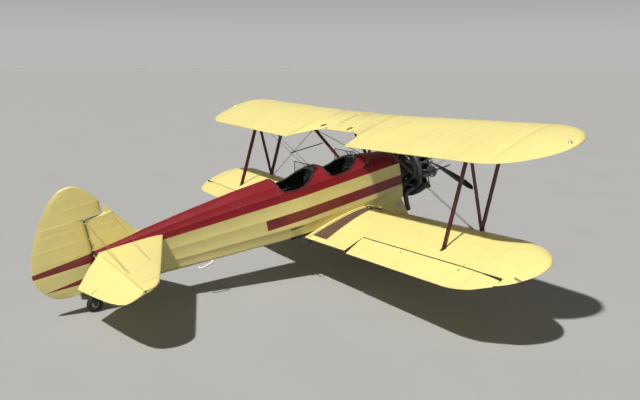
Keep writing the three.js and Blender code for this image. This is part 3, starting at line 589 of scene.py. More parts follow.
def lower_panel():
    """Root, the part in front of the aileron, and the tip behind the slanted end of the aileron's bay."""
    _, radius = aileron_hinge()
    front = AILERON["hinge"] - radius - AILERON["gap"]
    a, b = AILERON["inner"] - AILERON["gap"], AILERON["outer"] + AILERON["gap"]
    steps = tip_steps(LOWER)
    made = Shape()
    for y0, y1, end in ((LOWER_ROOT, a, None), (a, b, front)):
        ys, offs, flags = stations(y0, y1, LOWER_RIBS, more=steps)
        rings = [wing_ring(LOWER, y, o, end=end) for y, o in zip(ys, offs)]
        # Behind the front part, the face toward the aileron and the bay's outer end are painted shade of the
        # gap.
        made.loft(rings, flags, dark=(len(rings[0]) - 1,) if end else (), ends=(None, PAINTED_GAP_SHADE))
    for upper in (True, False):
        ys, offs, flags = stations(a + 0.004, b - 0.004, LOWER_RIBS, more=steps)
        rings = []
        for y, off in zip(ys, offs):
            outer = [section_point(LOWER, y, d, upper, off) for d in (front - 0.01, AILERON["hinge"] - 0.016)]
            rings.append(outer + [p + vec(0, 0, -0.0015 if upper else 0.0015) for p in reversed(outer)])
        made.loft(rings, flags)
    # The tip's inner end, facing the aileron's end, is painted shade of the gap.
    rings = []
    for y in [b, *[y for y in steps if y > b + 0.004], LOWER["semi"] - 0.001]:
        share = smooth((LOWER["semi"] - y) / (LOWER["semi"] - b)) ** 3
        rings.append([slanted(p, share) for p in wing_ring(LOWER, y, 0.0)])
    return made.loft(rings, ends=(PAINTED_GAP_SHADE, None))


def aileron_shape():
    """Rounded nose on the hinge line, then the wing's own section to the trailing edge."""
    hinge, radius = aileron_hinge()
    ribs = [r for r in LOWER_RIBS if r < AILERON["outer"]]
    ys, offs, flags = stations(AILERON["inner"], AILERON["outer"], ribs, more=tip_steps(LOWER))
    rings = []
    for y, off in zip(ys, offs):
        back = CHORD - tip_pull(y, LOWER)[1]
        ds = [lerp(AILERON["hinge"], back, t) for t in (0, 0.08, 0.2, 0.4, 0.6, 0.8, 0.93, 1)]
        top = [section_point(LOWER, y, d, True, off) for d in reversed(ds)]
        low = [section_point(LOWER, y, d, False, off) for d in ds]
        nose = [vec(hinge.x + radius * math.sin(t), y, hinge.z + radius * math.cos(t))
                for t in np.linspace(0.12, math.pi - 0.12, 9)]
        share = smooth((y - (AILERON["outer"] - 0.3)) / 0.3)
        rings.append([slanted(p, share) for p in top + nose + low])
    # The rounded nose and both ends are painted shade of the gap in front of the aileron.
    return Shape().loft(rings, flags, dark=range(len(top) - 1, len(top) + len(nose)), ends=(PAINTED_GAP_SHADE, PAINTED_GAP_SHADE))


WING_MATS = (cream, tape, painted_gap_shade)
pair("upper_panel", upper_panel().moved(raise_panel(UPPER)), WING_MATS, "upper_wing")
pair("lower_panel", lower_panel().moved(raise_panel(LOWER)), WING_MATS, "lower_wing")
for side, s in SIDES:
    piece(f"aileron_skin_{side}", on_side(s, aileron_shape().moved(aileron_rest(s))), WING_MATS,
          (f"aileron_{side}",), f"aileron_{side}")
piece("centre_section", centre_section(), (cream_metal, tape), ("wing_center",))


def flat_section(rows, u):
    """Reads a table of rows at u by straight lines between them."""
    for a, b in zip(rows, rows[1:]):
        if a[0] <= u <= b[0]:
            t = (u - a[0]) / (b[0] - a[0])
            return [lerp(p, q, t) for p, q in zip(a, b)]
    return rows[-1] if u > rows[-1][0] else rows[0]


def stripe_paint(name, bands, base):
    """The cream cloth with maroon bands. Each band is an upper and a lower line in side view,
    (x, z, x, z), and the x range it covers, all in aircraft axes."""
    m = weave(finish(name, base, 0.42, coat=0.3, vary=0.05, scale=1.6))
    bsdf = m.node_tree.nodes["Principled BSDF"]
    place = m.node_tree.nodes["Texture Coordinate"].outputs["Object"]
    inverse = TO_ROW.inverted()
    turn = add_node(m, "Mapping", Vector=place, Rotation=inverse.to_euler(),
                    Location=inverse.to_translation())
    axes = add_node(m, "SeparateXYZ", Vector=turn).outputs

    def above(line):
        x0, z0, x1, z1 = line
        slope = (z1 - z0) / (x1 - x0)
        limit = math_node(m, "ADD", math_node(m, "MULTIPLY", axes["X"], slope), z0 - slope * x0)
        return math_node(m, "GREATER_THAN", axes["Z"], limit)

    total = None
    for upper, lower, (rear, front) in bands:
        inside = math_node(m, "SUBTRACT", 1.0, above(upper))
        for limit in (above(lower), math_node(m, "GREATER_THAN", axes["X"], rear),
                      math_node(m, "LESS_THAN", axes["X"], front)):
            inside = math_node(m, "MULTIPLY", inside, limit)
        total = inside if total is None else math_node(m, "MAXIMUM", total, inside)
    broad = add_node(m, "TexNoise", Vector=place, Scale=STREAKS, Detail=7)
    red = ramp(m, broad, [(0.3, shade(MAROON, 0.82)), (0.7, shade(MAROON, 1.12))])
    mix = add_node(m, "Mix")
    mix.data_type = "RGBA"
    plug(m, mix, Factor=total, A=bsdf.inputs["Base Color"].links[0].from_socket, B=red)
    plug(m, bsdf, Base_Color=mix.outputs["Result"])
    return m


# Fuselage stations: x, top, bottom, half width, roundness of the upper deck
STATIONS = [
    (0, 0.440, -0.490, 0.428, 1), (-0.600, 0.545, -0.495, 0.430, 0.8), (-0.950, 0.600, -0.495, 0.430, 0.6),
    (-2.200, 0.612, -0.490, 0.430, 0.5), (-2.560, 0.610, -0.470, 0.392, 0.5),
    (-3.220, 0.596, -0.420, 0.322, 0.3), (-4.130, 0.540, -0.355, 0.228, 0.15),
    (-4.970, 0.470, -0.285, 0.142, 0.1), (-5.705, 0.395, -0.175, 0.066, 0.1),
]


def station(x):
    found = next((i for i, s in enumerate(STATIONS) if s[0] <= x), len(STATIONS) - 1)
    a, b = STATIONS[max(1, found) - 1], STATIONS[max(1, found)]
    t = (x - a[0]) / (b[0] - a[0])
    return [lerp(p, q, t) for p, q in zip(a, b)]


def fuselage_profile(x):
    """Port half of the section from the top to the keel, as (y, z)."""
    _, top, bottom, half, rnd = station(x)
    deck, low = top - WAIST_Z, bottom - WAIST_Z
    upper = [(0, 1), (lerp(0.3, 0.4, rnd), 0.97), (lerp(0.62, 0.72, rnd), lerp(0.72, 0.8, rnd)),
             (lerp(0.88, 0.94, rnd), lerp(0.36, 0.42, rnd))]
    sides = [(0.985, 0), (1, 0.32), (0.985, 0.66), (0.9, 0.9), (0.55, 0.99), (0, 1)]
    return ([(half * w, WAIST_Z + deck * h) for w, h in upper]
            + [(half * w, WAIST_Z + low * h) for w, h in sides])


def width(x, z):
    """Half width of the fuselage at x and z."""
    p = fuselage_profile(x)
    for (y0, z0), (y1, z1) in zip(p, p[1:]):
        if z0 >= z >= z1 and z0 > z1:
            return lerp(y0, y1, (z0 - z) / (z0 - z1))
    return 0.0


def deck_height(x, y):
    """Height of the deck's top at x and y."""
    p = fuselage_profile(x)
    for (y0, z0), (y1, z1) in zip(p, p[1:4]):
        if y0 <= abs(y) <= y1:
            return lerp(z0, z1, (abs(y) - y0) / (y1 - y0))
    return p[3][1]


def across(half):
    """A whole ring of (y, z) from its port half, which starts and ends on the middle line."""
    return half + [(-y, z) for y, z in reversed(half[1:-1])]


def fuselage_skin(x0, x1, sag, ends=(0, 0)):
    """Cloth drawn over stringers: each flat strip dips a little, and each stringer shows as a soft edge."""
    steps = 5
    xs = sorted({x0, x1, *[s[0] for s in STATIONS if x1 < s[0] < x0], *evenly(x1, x0, 0.11)}, reverse=True)
    rings, marks = [], []
    for x in xs:
        whole = across(fuselage_profile(x))
        ring, mark = [], []
        for a, b in zip(whole, whole[1:] + whole[:1]):
            along = Vector((b[0] - a[0], b[1] - a[1]))
            out = Vector((-along.y, along.x)).normalized()
            if out.dot(Vector(a) - Vector((0, 0.1))) < 0:
                out = -out
            for t in (k / steps for k in range(steps)):
                depth = sag * min(1, along.length / 0.15) * math.sin(math.pi * t)
                q = Vector(a) + along * t - out * depth
                ring.append(vec(x, q.x, q.y))
                mark.append(1 if min(a[1], b[1]) > WAIST_Z - 0.001 else 0)
        rings.append(ring)
        marks.append(mark)
    return Shape().loft(rings, marks, ends=ends)


def hollow_shape(x0, x1, inset):
    """The inside of the fuselage between two stations, inset from its skin."""
    rings = []
    for x in [x0, *[s[0] for s in STATIONS if x1 < s[0] < x0], x1]:
        _, top, bottom, half, _ = station(x)
        middle, tall = (top + bottom) / 2, (top - bottom) / 2
        port = [(y * (half - inset) / half, middle + (z - middle) * (tall - inset) / tall)
                for y, z in fuselage_profile(x)]
        rings.append([vec(x, y, z) for y, z in across(port)])
    return Shape().loft(rings, INSIDE, ends=(INSIDE, INSIDE))


def side_prism(outline, half):
    """An outline in side view, (x, z), drawn out across the aircraft."""
    return Shape().loft([[vec(x, y, z) for x, z in outline] for y in (-half, half)], INSIDE,
                        ends=(INSIDE, INSIDE))


def cut_out(o, shape):
    """Takes a shape out of a piece."""
    cutter = mesh_object("cutter", shape)
    m = o.modifiers.new("cut", "BOOLEAN")
    m.operation, m.solver, m.object = "DIFFERENCE", "EXACT", cutter
    bpy.context.view_layer.update()
    made = bpy.data.meshes.new_from_object(o.evaluated_get(bpy.context.evaluated_depsgraph_get()))
    o.modifiers.clear()
    o.data = made
    bpy.data.objects.remove(cutter)


SIDE_BAND = [((-4, 0.035, 0, 0.035), (-4, -0.147, 0, -0.147), (-2.91, 0.01))]
SKIN_MATS = (stripe_paint("side_paint", SIDE_BAND, CREAM), maroon_fabric, painted_gap_shade, painted_shade_lining)

# Cockpit openings in side view, from the rear edge along the rim to the front edge
OPENINGS = [
    [(-2.525, 0.9), (-2.525, 0.53), (-2.475, 0.422), (-2.25, 0.402), (-2.08, 0.422), (-1.98, 0.449),
     (-1.883, 0.493), (-1.793, 0.545), (-1.715, 0.583), (-1.645, 0.604), (-1.64, 0.9)],
    [(-1.55, 0.9), (-1.535, 0.515), (-1.498, 0.434), (-1.4, 0.418), (-1.2, 0.424), (-1.072, 0.443),
     (-0.971, 0.487), (-0.876, 0.53), (-0.8, 0.558), (-0.755, 0.574), (-0.75, 0.9)],
]
COCKPITS = (("rear", -1.69, OPENINGS[0], -1.714, -2.33), ("front", -0.79, OPENINGS[1], -0.818, -1.4))


def fuselage():
    """Three skins, a fraction of a millimetre apart, so that no two end faces coincide."""
    # The rear skin's end at the tail post is painted shade.
    rear = piece("rear_fuselage_skin", fuselage_skin(-2.5603, TAIL_POST_X, 0.005, (0, PAINTED_GAP_SHADE)), SKIN_MATS,
                 ("fuselage_rear",), sharp=CLOTH_SMOOTH_UNDER)
    cut_out(rear, box(-5.73, -5.63, -0.2, 0.2, 0.302, 0.362))
    middle = piece("cockpit_skin", fuselage_skin(-0.6003, -2.56, 0.004), SKIN_MATS,
                   ("cockpit_tub", "cockpit_deck"), sharp=CLOTH_SMOOTH_UNDER)
    cut_out(middle, hollow_shape(-0.622, -2.538, 0.022))
    for outline in OPENINGS:
        cut_out(middle, side_prism(outline, 0.6))
    piece("nose_skin", fuselage_skin(0, -0.5997, 0.002, (4, 0)), (*SKIN_MATS, firewall),
          ("nose_section",), sharp=CLOTH_SMOOTH_UNDER)


fuselage()


def rim_loop(outline):
    """The edge of a cockpit's opening: starboard rim, over the deck in front, port rim, over the deck
    behind."""
    side = []
    for (x0, z0), (x1, z1) in zip(outline, outline[1:]):
        for t in (k / 6 for k in range(6)):
            x, z = lerp(x0, x1, t), lerp(z0, z1, t)
            w = width(x, z)
            if w > 0.03:
                side.append(vec(x, -w, z))

    def over(a):
        """Points over the deck from a to the other side."""
        return [vec(a.x, y, deck_height(a.x, y)) for y in np.linspace(a.y, -a.y, 11)[1:-1]]

    loop = side + over(side[-1]) + [vec(p.x, -p.y, p.z) for p in reversed(side)] + over(side[0])[::-1]
    return loop + loop[:2]


def slab(corners):
    """A thin flat pane from its corners."""
    out = (corners[1] - corners[0]).cross(corners[2] - corners[0]).normalized() * (PANE / 2)
    return Shape().loft([[p + out for p in corners], [p - out for p in corners]])


def strap(points, across, wide=0.045, thick=0.0025):
    """A flat woven strap along points, its width lying along across."""
    pts, across = curve(points, 5), Vector(across).normalized()
    rings = []
    for p, along in zip(pts, directions(pts)):
        side = (across - along * across.dot(along)).normalized()
        up = along.cross(side)
        rings.append([p + side * a * wide / 2 + up * b * thick / 2
                      for a, b in ((-1, -1), (0, -1), (1, -1), (1, 1), (0, 1), (-1, 1))])
    return Shape().loft(rings)


def flip(p):
    return vec(p.x, -p.y, p.z)


def windshield(x, outline):
    """Three flat panes, their frame, and the sill they stand on."""
    foot_z = flat_section(outline[1:-1], x - 0.15)[1]
    foot = vec(x - 0.15, width(x - 0.15, foot_z), foot_z + 0.006)
    base = vec(x + 0.078, 0.16, deck_height(x + 0.078, 0.16) + 0.004)
    top, high = vec(x, 0.15, 0.66), vec(x - 0.146, 0.25, 0.728)
    panes = slab([base, flip(base), flip(top), top])
    frame, sill = Shape(), Shape()
    for f in (lambda p: p, flip):
        panes.join(slab([f(foot), f(base), f(top), f(high)]))
        for a, b in ((foot, high), (high, top), (top, base)):
            frame.join(tube([f(a), f(b)], 0.0065, 10))
        frame.join(bolt(f(foot) + vec(0.012, 0, 0.01), (0, 1, 0), 0.007, 0.012))
        sill.join(tube([f(foot), f(base)], 0.009, 10))
    frame.join(tube([top, flip(top)], 0.0065, 10))
    middle = vec(base.x + 0.004, 0, deck_height(base.x, 0) + 0.004)
    return panes, frame, sill.join(pipe([base, middle, flip(base)], 5, 0.009, 10))


def dial(at, r):
    """An instrument that faces aft: its bezel, its face, and its marks and needle."""
    def mark(angle, lift, low, high, wide):
        out = vec(0, math.sin(angle), math.cos(angle))
        face = at - vec(lift, 0, 0)
        return strap([face + out * (r * low), face + out * (r * high)], out.cross(vec(1, 0, 0)), wide, 0.0008)

    bezel = turned([(r, 0), (r * 1.18, 0), (r * 1.18, -0.008), (r * 1.05, -0.012), (r, -0.008)], "x", 28, at)
    face = turned([(0, -0.001), (r, -0.001), (r, -0.004), (0, -0.004)], "x", 28, at)
    marks = Shape().join(*[mark(q, 0.0048, 0.78, 0.95, 0.003) for q in circle(10)])
    return bezel, face, marks.join(mark(random.uniform(-2.2, 2.2), 0.0052, -0.15, 0.72, 0.0035))


# Dials as (y, z, radius)
DIALS = ((-0.23, 0.36, 0.04), (-0.115, 0.42, 0.046), (0, 0.43, 0.046), (0.115, 0.42, 0.046),
         (0.23, 0.36, 0.04), (-0.17, 0.27, 0.034), (0, 0.31, 0.046), (0.17, 0.27, 0.034))
# Belts from the seat's middle on one side, each with the way its width lies
BELTS = ((((-0.02, 0.212, -0.05), (0.02, 0.19, 0.012), (0.07, 0.1, 0.022), (0.1, 0.03, 0.02)), (1, 0, 0)),
         (((-0.118, 0.09, 0.2), (-0.124, 0.09, 0.38), (-0.105, 0.09, 0.41), (-0.07, 0.09, 0.36),
           (-0.02, 0.08, 0.12), (0.02, 0.06, 0.03), (0.09, 0.04, 0.028)), (0, 1, 0)))


def panel_shapes(x, lower):
    bezels, faces, marks = Shape(), Shape(), Shape()
    for y, z, r in DIALS:
        for group, part in zip((bezels, faces, marks), dial(vec(x, y, z - lower), r)):
            group.join(part)
    for y in (-0.06, -0.02, 0.02, 0.06):
        bezels.join(tube([(x, y, 0.2), (x - 0.012, y, 0.2)], 0.007, 8),
                    tube([(x - 0.012, y, 0.2), (x - 0.032, y, 0.208)], 0.003, 8))
    return bezels, faces, marks


def throttle_shape(x):
    lever = tube([(x + 0.28, 0.375, 0.18), (x + 0.3, 0.37, 0.27)], 0.006, 8)
    knob = pipe([(x + 0.3, 0.37, 0.26), (x + 0.305, 0.368, 0.285), (x + 0.31, 0.366, 0.3)], 3,
                [0.006, 0.011, 0.015, 0.017, 0.015, 0.011, 0.004], 12)
    return lever.join(knob, box(x + 0.2, x + 0.38, 0.36, 0.395, 0.14, 0.19))


def pedal_shapes(x):
    bars = Shape()
    for k in BOTH:
        bars.join(tube([(x + 0.05, k * 0.11, -0.3), (x + 0.05, k * 0.11, -0.02)], 0.011, 10),
                  tube([(x + 0.02, k * 0.06, -0.24), (x + 0.02, k * 0.17, -0.24)], 0.013, 10))
    return bars


def cockpit(name, x, outline, panel_x, seat_x):
    piece(f"rim_roll_{name}", tube(rim_loop(outline), 0.011, 10), grey_leather)
    panes, frame, sill = windshield(x, outline)
    piece(f"windshield_panes_{name}", panes, glass, (f"windshield_{name}",))
    piece(f"windshield_frame_{name}", frame, black)
    piece(f"windshield_sill_{name}", sill, maroon)
    bezels, faces, marks = panel_shapes(panel_x, 0 if name == "rear" else 0.04)
    piece(f"dial_rings_{name}", bezels, dark)
    piece(f"dial_faces_{name}", faces, dial_face)
    piece(f"dial_marks_{name}", marks, dial_mark)
    belts = [strap([(seat_x + ahead, k * y, z) for ahead, y, z in line], wide)
             for k in BOTH for line, wide in BELTS]
    piece(f"harness_{name}", Shape().join(*belts), webbing)
    buckle = block((seat_x + 0.1, 0, 0.028), 0.03, 0.035, 0.006)
    piece(f"buckle_{name}", buckle, steel)
    piece(f"throttle_{name}", throttle_shape(seat_x), black)
    piece(f"rudder_pedals_{name}", pedal_shapes(panel_x), alloy)


def cockpit_frames():
    """The steel tubes inside the cockpits, the floor boards, and ledges over the lower wing's roots."""
    high, low = 0.235, -0.33

    def inside(x, z):
        return vec(x, k * (width(x, z) - 0.04), z)

    tubes, boards, ledges = Shape(), Shape(), Shape()
    for k in BOTH:
        for z in (high, low):
            tubes.join(tube([inside(x, z) for x in (-0.64, -2.2, -2.52)], 0.014, 10))
        for x in (-0.7, -1.18, -1.62, -2.08, -2.48):
            tubes.join(tube([inside(x, low), inside(x, high)], 0.012, 10))
        for x0, x1 in ((-0.7, -1.18), (-1.62, -1.18), (-1.62, -2.08), (-2.48, -2.08)):
            tubes.join(tube([inside(x0, low), inside(x1, high)], 0.011, 10))
        for x0, x1 in ((-1.15, -0.66), (-2.05, -1.6)):
            boards.join(box(x0, x1, k * 0.12 - 0.07, k * 0.12 + 0.07, -0.43, -0.415))
        for x0, x1 in ((-2.5, -1.66), (-1.62, -0.65)):
            section = ((0.335, -0.455), (0.345, -0.455), (0.345, -0.272), (0.415, -0.262), (0.415, -0.25),
                       (0.335, -0.262))
            ledges.join(Shape().loft([[vec(x, k * y, z) for y, z in section] for x in (x0, x1)]))
            for x in np.linspace(x0 + 0.05, x1 - 0.05, 6):
                ledges.join(bolt((x, k * 0.335, -0.3), (0, -k, 0), 0.005, 0.002))
    piece("cockpit_tubes", tubes, interior)
    piece("heel_boards", boards, wood)
    # The ledges are near black, as painted shade.
    piece("side_ledges", ledges, painted_shade_lining)


cockpit_frames()
for row in COCKPITS:
    cockpit(*row)


# Tail surfaces. A stabilizer row is y, leading x, trailing x and share of the thickness, and an
# elevator row is y, trailing x and share.
STABILIZER = [(0.06, -4.6, -5.622, 1), (0.24, -4.671, -5.622, 1), (1.881, -5.327, -5.622, 0.9),
              (2.007, -5.386, -5.622, 0.8), (2.093, -5.452, -5.622, 0.7), (2.165, -5.56, -5.622, 0.6)]
ELEVATOR_ROWS = [(0.11, -5.71, 1), (0.25, -5.917, 1), (0.552, -6.214, 1), (0.882, -6.172, 1),
                 (1.363, -6.1, 1), (1.687, -6.042, 0.95), (1.913, -5.986, 0.85), (2.07, -5.922, 0.75),
                 (2.141, -5.844, 0.7), (2.175, -5.759, 0.6), (2.188, -5.7, 0.6)]


def stabilizer_shape():
    ys, offs, flags = stations(0.06, 2.165, evenly(0.3, 2.0, 0.243), more=(0.24, 1.881, 2.007, 2.093, 2.13),
                               sag=0.001)
    section = ((0, 0), (0.01, 0.3), (0.04, 0.5), (0.1, 0.68), (0.2, 0.84), (0.35, 0.95), (0.5, 1),
               (0.62, 1), (0.8, 0.97), (0.97, 0.94), (1, 0.93))
    rings, lips = [], {k: [] for k in BOTH}
    for y, off in zip(ys, offs):
        _, lead, trail, share = flat_section(STABILIZER, y)
        top = [vec(lerp(lead, trail, f), y, ELEVATOR["z"] + h * (0.036 * share) + off * cloth_share(f))
               for f, h in section]
        rings.append(top + [vec(p.x, y, 2 * ELEVATOR["z"] - p.z) for p in reversed(top[1:])])
        for k, lip in lips.items():
            h = k * 0.0335 * share + ELEVATOR["z"]
            lip.append([vec(-5.61, y, h), vec(-5.648, y, h + k * 0.0004), vec(-5.648, y, h - k * 0.0008),
                        vec(-5.61, y, h - k * 0.001)])
    # The trailing face toward the elevator is painted shade of the gap.
    made = Shape().loft(rings, flags, dark=(len(section) - 1,))
    for lip in lips.values():
        made.loft(lip, flags)
    return made


def elevator_shape():
    ys, offs, flags = stations(0.11, 2.187, evenly(0.3, 1.98, 0.24), sag=0.001,
                               more=[r[0] for r in ELEVATOR_ROWS])
    x, z = ELEVATOR["x"], ELEVATOR["z"]
    rings = []
    for y, off in zip(ys, offs):
        _, trail, share = flat_section(ELEVATOR_ROWS, y)
        t = ELEVATOR["nose"] * share
        back = [(f, lerp(t, 0.006, f ** 1.15) + off * cloth_share(f))
                for f in (0, 0.1, 0.25, 0.45, 0.65, 0.85, 0.97)]
        top = [vec(lerp(x, trail, f), y, z + h) for f, h in reversed(back)]
        low = [vec(lerp(x, trail, f), y, z - h) for f, h in back]
        nose = [vec(x + t * math.sin(q), y, z + t * math.cos(q))
                for q in np.linspace(0.35, math.pi - 0.35, 7)]
        rings.append([vec(trail, y, z)] + top + nose + low)
    torque_tube = tube([vec(x, 0.0005, z), vec(x, 0.15, z)], 0.018, 20)
    # The inner end, toward the fuselage, is painted shade of the gap.
    return Shape().loft(rings, flags, ends=(PAINTED_GAP_SHADE, None)).join(torque_tube)


DROOP = about((ELEVATOR["x"], 0, ELEVATOR["z"]), Matrix.Rotation(-math.radians(ELEVATOR["droop"]), 4, "Y"))
pair("stabilizer_skin", stabilizer_shape(), WING_MATS, "stabilizer")
pair("elevator_skin", elevator_shape().moved(DROOP), WING_MATS, "elevator", "elevators")

# Outlines in side view, (x, z)
FIN_FRONT = [(-4.88, 0.46), (-4.992, 0.52), (-5.267, 0.923), (-5.382, 1.073)]
RUDDER_EDGE = [(-5.745, -0.13), (-6.06, -0.178), (-6.23, -0.178), (-6.382, -0.142), (-6.49, -0.06),
               (-6.588, 0.069), (-6.64, 0.244), (-6.6, 0.49), (-6.531, 0.683), (-6.374, 0.991),
               (-6.189, 1.242), (-5.998, 1.412), (-5.838, 1.462), (-5.725, 1.447), (-5.634, 1.397),
               (-5.562, 1.328), (-5.494, 1.244), (-5.422, 1.135)]
HORN_FOOT = [(-5.424, 0.948), (-5.745, 0.93)]
HORN_Z = 0.9395
# An upright surface's section as (share of the way forward, share of the thickness)
UPRIGHT = ((0, 0.12), (0.04, 0.3), (0.15, 0.52), (0.35, 0.78), (0.6, 0.96), (0.8, 1), (0.92, 0.86),
           (0.98, 0.55))


def level(outline, z):
    """Where a level line crosses a closed outline: its rear and front x."""
    found = []
    for (x0, z0), (x1, z1) in zip(outline, outline[1:] + outline[:1]):
        if (z0 - z) * (z1 - z) < 0 or (z0 == z and z1 != z):
            found.append(lerp(x0, x1, (z - z0) / (z1 - z0)))
    return (min(found), max(found)) if len(found) > 1 else (-6.1, -6.0)


def upright_ring(x0, x1, z, half, off):
    """A level section of an upright surface, from the trailing edge x0 round to the front x1."""
    soft = min(1, (x1 - x0) / 0.2)
    port = [vec(lerp(x0, x1, f), half * h * soft + off * cloth_share(1 - f), z) for f, h in UPRIGHT]
    return port + [vec(x1, 0, z)] + [flip(p) for p in reversed(port)]


def rudder_shape():
    """The rudder behind its hinge line, and the horn that reaches forward over the fin."""
    outline = [(p.x, p.z) for p in curve([vec(x, 0, z) for x, z in RUDDER_EDGE], 5)] + HORN_FOOT
    ribs = (0.02, 0.22, 0.42, 0.62, 0.8, 0.96, 1.14, 1.3)
    near_ends = (0.003, 0.01, 0.03, 0.06, 0.94, 0.97, 0.985, 0.994)
    made = Shape()
    for z0, z1, nose in ((-0.1775, HORN_Z, 0.028), (HORN_Z, 1.4615, 0)):
        zs, offs, flags = stations(z0, z1, ribs, sag=0.0005, half=0.015,
                                   more=[lerp(z0, z1, t) for t in near_ends])
        rings = []
        for z, off in zip(zs, offs):
            x0, x1 = level(outline, z)
            if nose:
                x1 = max(x0 + 0.02, min(x1, RUDDER_X) + (nose if z > -0.12 else 0))
            rings.append(upright_ring(x0, x1, z, 0.033, off))
        # Below the horn, the nose faces toward the tail post are painted shade of the gap.
        made.loft(rings, flags, dark=(6, 7, 8, 9) if nose else ())
    return made


def fin_shape():
    """The fin up to the horn's foot, and its narrower top in front of the horn."""
    made = Shape()
    front = [(z, x) for x, z in [(-4.75, 0.34)] + FIN_FRONT]
    for z0, z1, rear_x in ((0.36, 0.905, lambda z: TAIL_POST_X + 0.001),
                           (0.905, 1.071, lambda z: lerp(-5.62, -5.389, smooth((z - 0.905) / 0.03)))):
        zs, offs, flags = stations(z0, z1, (0.62, 0.76, 0.9), sag=0.0004, half=0.015,
                                   more=[lerp(z0, z1, t) for t in (0.1, 0.3, 0.7, 0.95)])
        rings = [upright_ring(rear_x(z), flat_section(front, z)[1], z, 0.035, off)
                 for z, off in zip(zs, offs)]
        # The fin's rear face, toward the rudder, is painted shade of the gap.
        made.loft(rings, flags, dark=(len(rings[0]) - 1,))
    return made


RUDDER_BANDS = [((-5.745, 0.386, -6.64, 0.332), (-5.745, 0.244, -6.64, 0.259), (-7, -5.6)),
                ((-6.003, 0.046, -6.509, 0.004), (-5.96, -0.035, -6.509, 0.0), (-6.509, -5.6))]
FIN_BANDS = [((-4.88, 0.49, -5.745, 0.39), (-4.0, 0, -6, 0), (-7, 0))]
for name, shape, bands, body in (("rudder", rudder_shape(), RUDDER_BANDS, "rudder"),
                                 ("fin", fin_shape(), FIN_BANDS, "airframe")):
    paints = tuple(stripe_paint(f"{name}_{kind}", bands, color)
                   for kind, color in (("paint", CREAM), ("tape", TAPE)))
    piece(f"{name}_skin", shape, paints, (name,), body)


# Struts between the wings
def wing_mark(wing, behind, y, upper, lift=0.0):
    """Where a strut or wire meets a wing: behind the leading edge, at y, off the surface by lift."""
    rise = max(0.0, abs(y) - wing["inner"]) * math.tan(math.radians(wing["dihedral"]))
    h = foil(behind / CHORD, upper) * CHORD + lift
    c, s = slope_of(wing)
    return vec(wing["x"] - behind * c + h * s, y, wing["z"] - behind * s + h * c + rise)


def shoe(at, toward, long=0.11):
    """A plate on the wing under a strut's end, with its two bolts and the two lugs that hold the strut."""
    up = (toward - at).normalized()
    made = block(at, long / 2, 0.025, 0.004)
    for k in BOTH:
        foot = at + vec(0, k * 0.019, 0)
        made.join(strut(foot, foot + up * 0.07, 0.05, 0.005, 8, 0.6, 0),
                  bolt(foot + up * 0.05 + vec(0, k * 0.002, 0), (0, k, 0), 0.008, 0.007),
                  bolt(at + vec(k * long * 0.4, 0, 0.004), (0, 0, 1), 0.006, 0.005))
    return made


def bars_between(feet, heads, upright, slanting, sink=0.0):
    """Two upright struts and the slanting one, from the front foot to the rear head. Sink puts them
    deeper at their feet."""
    made = Shape()
    for foot, head, size in ((feet[0], heads[0], upright), (feet[1], heads[1], upright),
                             (feet[0], heads[1], slanting)):
        made.join(strut(foot - (head - foot).normalized() * sink, head, *size, 22))
    return made


def interplane_shape():
    feet = [wing_mark(LOWER, d, STRUT_Y, True, -0.01) for d in SPARS]
    heads = [wing_mark(UPPER, d, STRUT_Y, False, 0.01) for d in SPARS]
    shoes = Shape()
    for a, b in zip(feet, heads):
        inward = (b - a).normalized() * 0.012
        shoes.join(shoe(a + inward, b), shoe(b - inward, a))
    return bars_between(feet, heads, (0.082, 0.036), (0.066, 0.03)), shoes


def cabane_shape():
    """Struts from the fuselage to the centre section. The slanting member is a thin rod, as in the photo."""
    heads = [wing_mark(UPPER, d, 0.935, False, 0.01) for d in SPARS]
    feet = [vec(-0.1, 0.42, 0.3), vec(-0.75, 0.42, 0.44)]
    shoes = Shape()
    for foot, head in zip(feet, heads):
        along = (head - foot).normalized()
        shoes.join(shoe(head - along * 0.012, foot, 0.1),
                   strut(foot - along * CABANE_SINK, foot + along * 0.03, 0.12, 0.05, 14, 0.8))
    return bars_between(feet, heads, (0.07, 0.032), (0.014, 0.008), CABANE_SINK), shoes


for name, (bars, shoes) in (("interplane", interplane_shape()), ("cabane", cabane_shape())):
    pair(f"{name}_bars", bars, strut_paint, name)
    pair(f"{name}_shoes", shoes, dark)


# Stay wires: streamlined, with a threaded rod, a fork and a plate at each end
def wire_shape(a, b):
    along = (b - a).normalized()
    made = strut(a + along * 0.06, b - along * 0.06, 0.01, 0.005, 10, drop=0)
    for p, d in ((a, along), (b, -along)):
        made.join(tube([p + d * 0.03, p + d * 0.2], 0.0042, 8),
                  tube([p + d * 0.035, p + d * 0.075], 0.008, 6),
                  tube([p, p + d * 0.035], [0.009, 0.006], 8),
                  tube([p + vec(0.011, 0, 0), p + vec(-0.011, 0, 0)], 0.005, 8))
    return made


FLYING = dict(root=0.44, head=3.2, apart=0.05, aft=0.031)
LANDING = dict(root=0.985, foot=3.12, apart=0.018)
WIRE_SPAR = 0.144

for place, k in (("front", -1), ("rear", 1)):
    spread = k * FLYING["apart"]
    flying = (wing_mark(LOWER, WIRE_SPAR + spread, FLYING["root"], True, 0.004),
              wing_mark(UPPER, SPARS[1] + FLYING["aft"] + spread, FLYING["head"], False, -0.004))
    spread = k * LANDING["apart"]
    landing = (wing_mark(UPPER, SPARS[1] + spread, LANDING["root"], False, -0.004),
               wing_mark(LOWER, WIRE_SPAR + spread, LANDING["foot"], True, 0.004))
    for name, ends in (("flying", flying), ("landing", landing)):
        pair(f"{name}_wire_{place}_rod", wire_shape(*ends), wire_metal, f"{name}_wire_{place}")


# Engine
def fin_stack(low, high, count, inner, outer):
    """Profile points of thin cooling fins."""
    step = (high - low) / count
    return [(reach, low + step * (i + 0.5) + step * part) for i in range(count)
            for reach, part in ((inner, -0.3), (outer, -0.17), (outer, 0.17), (inner, 0.3))]


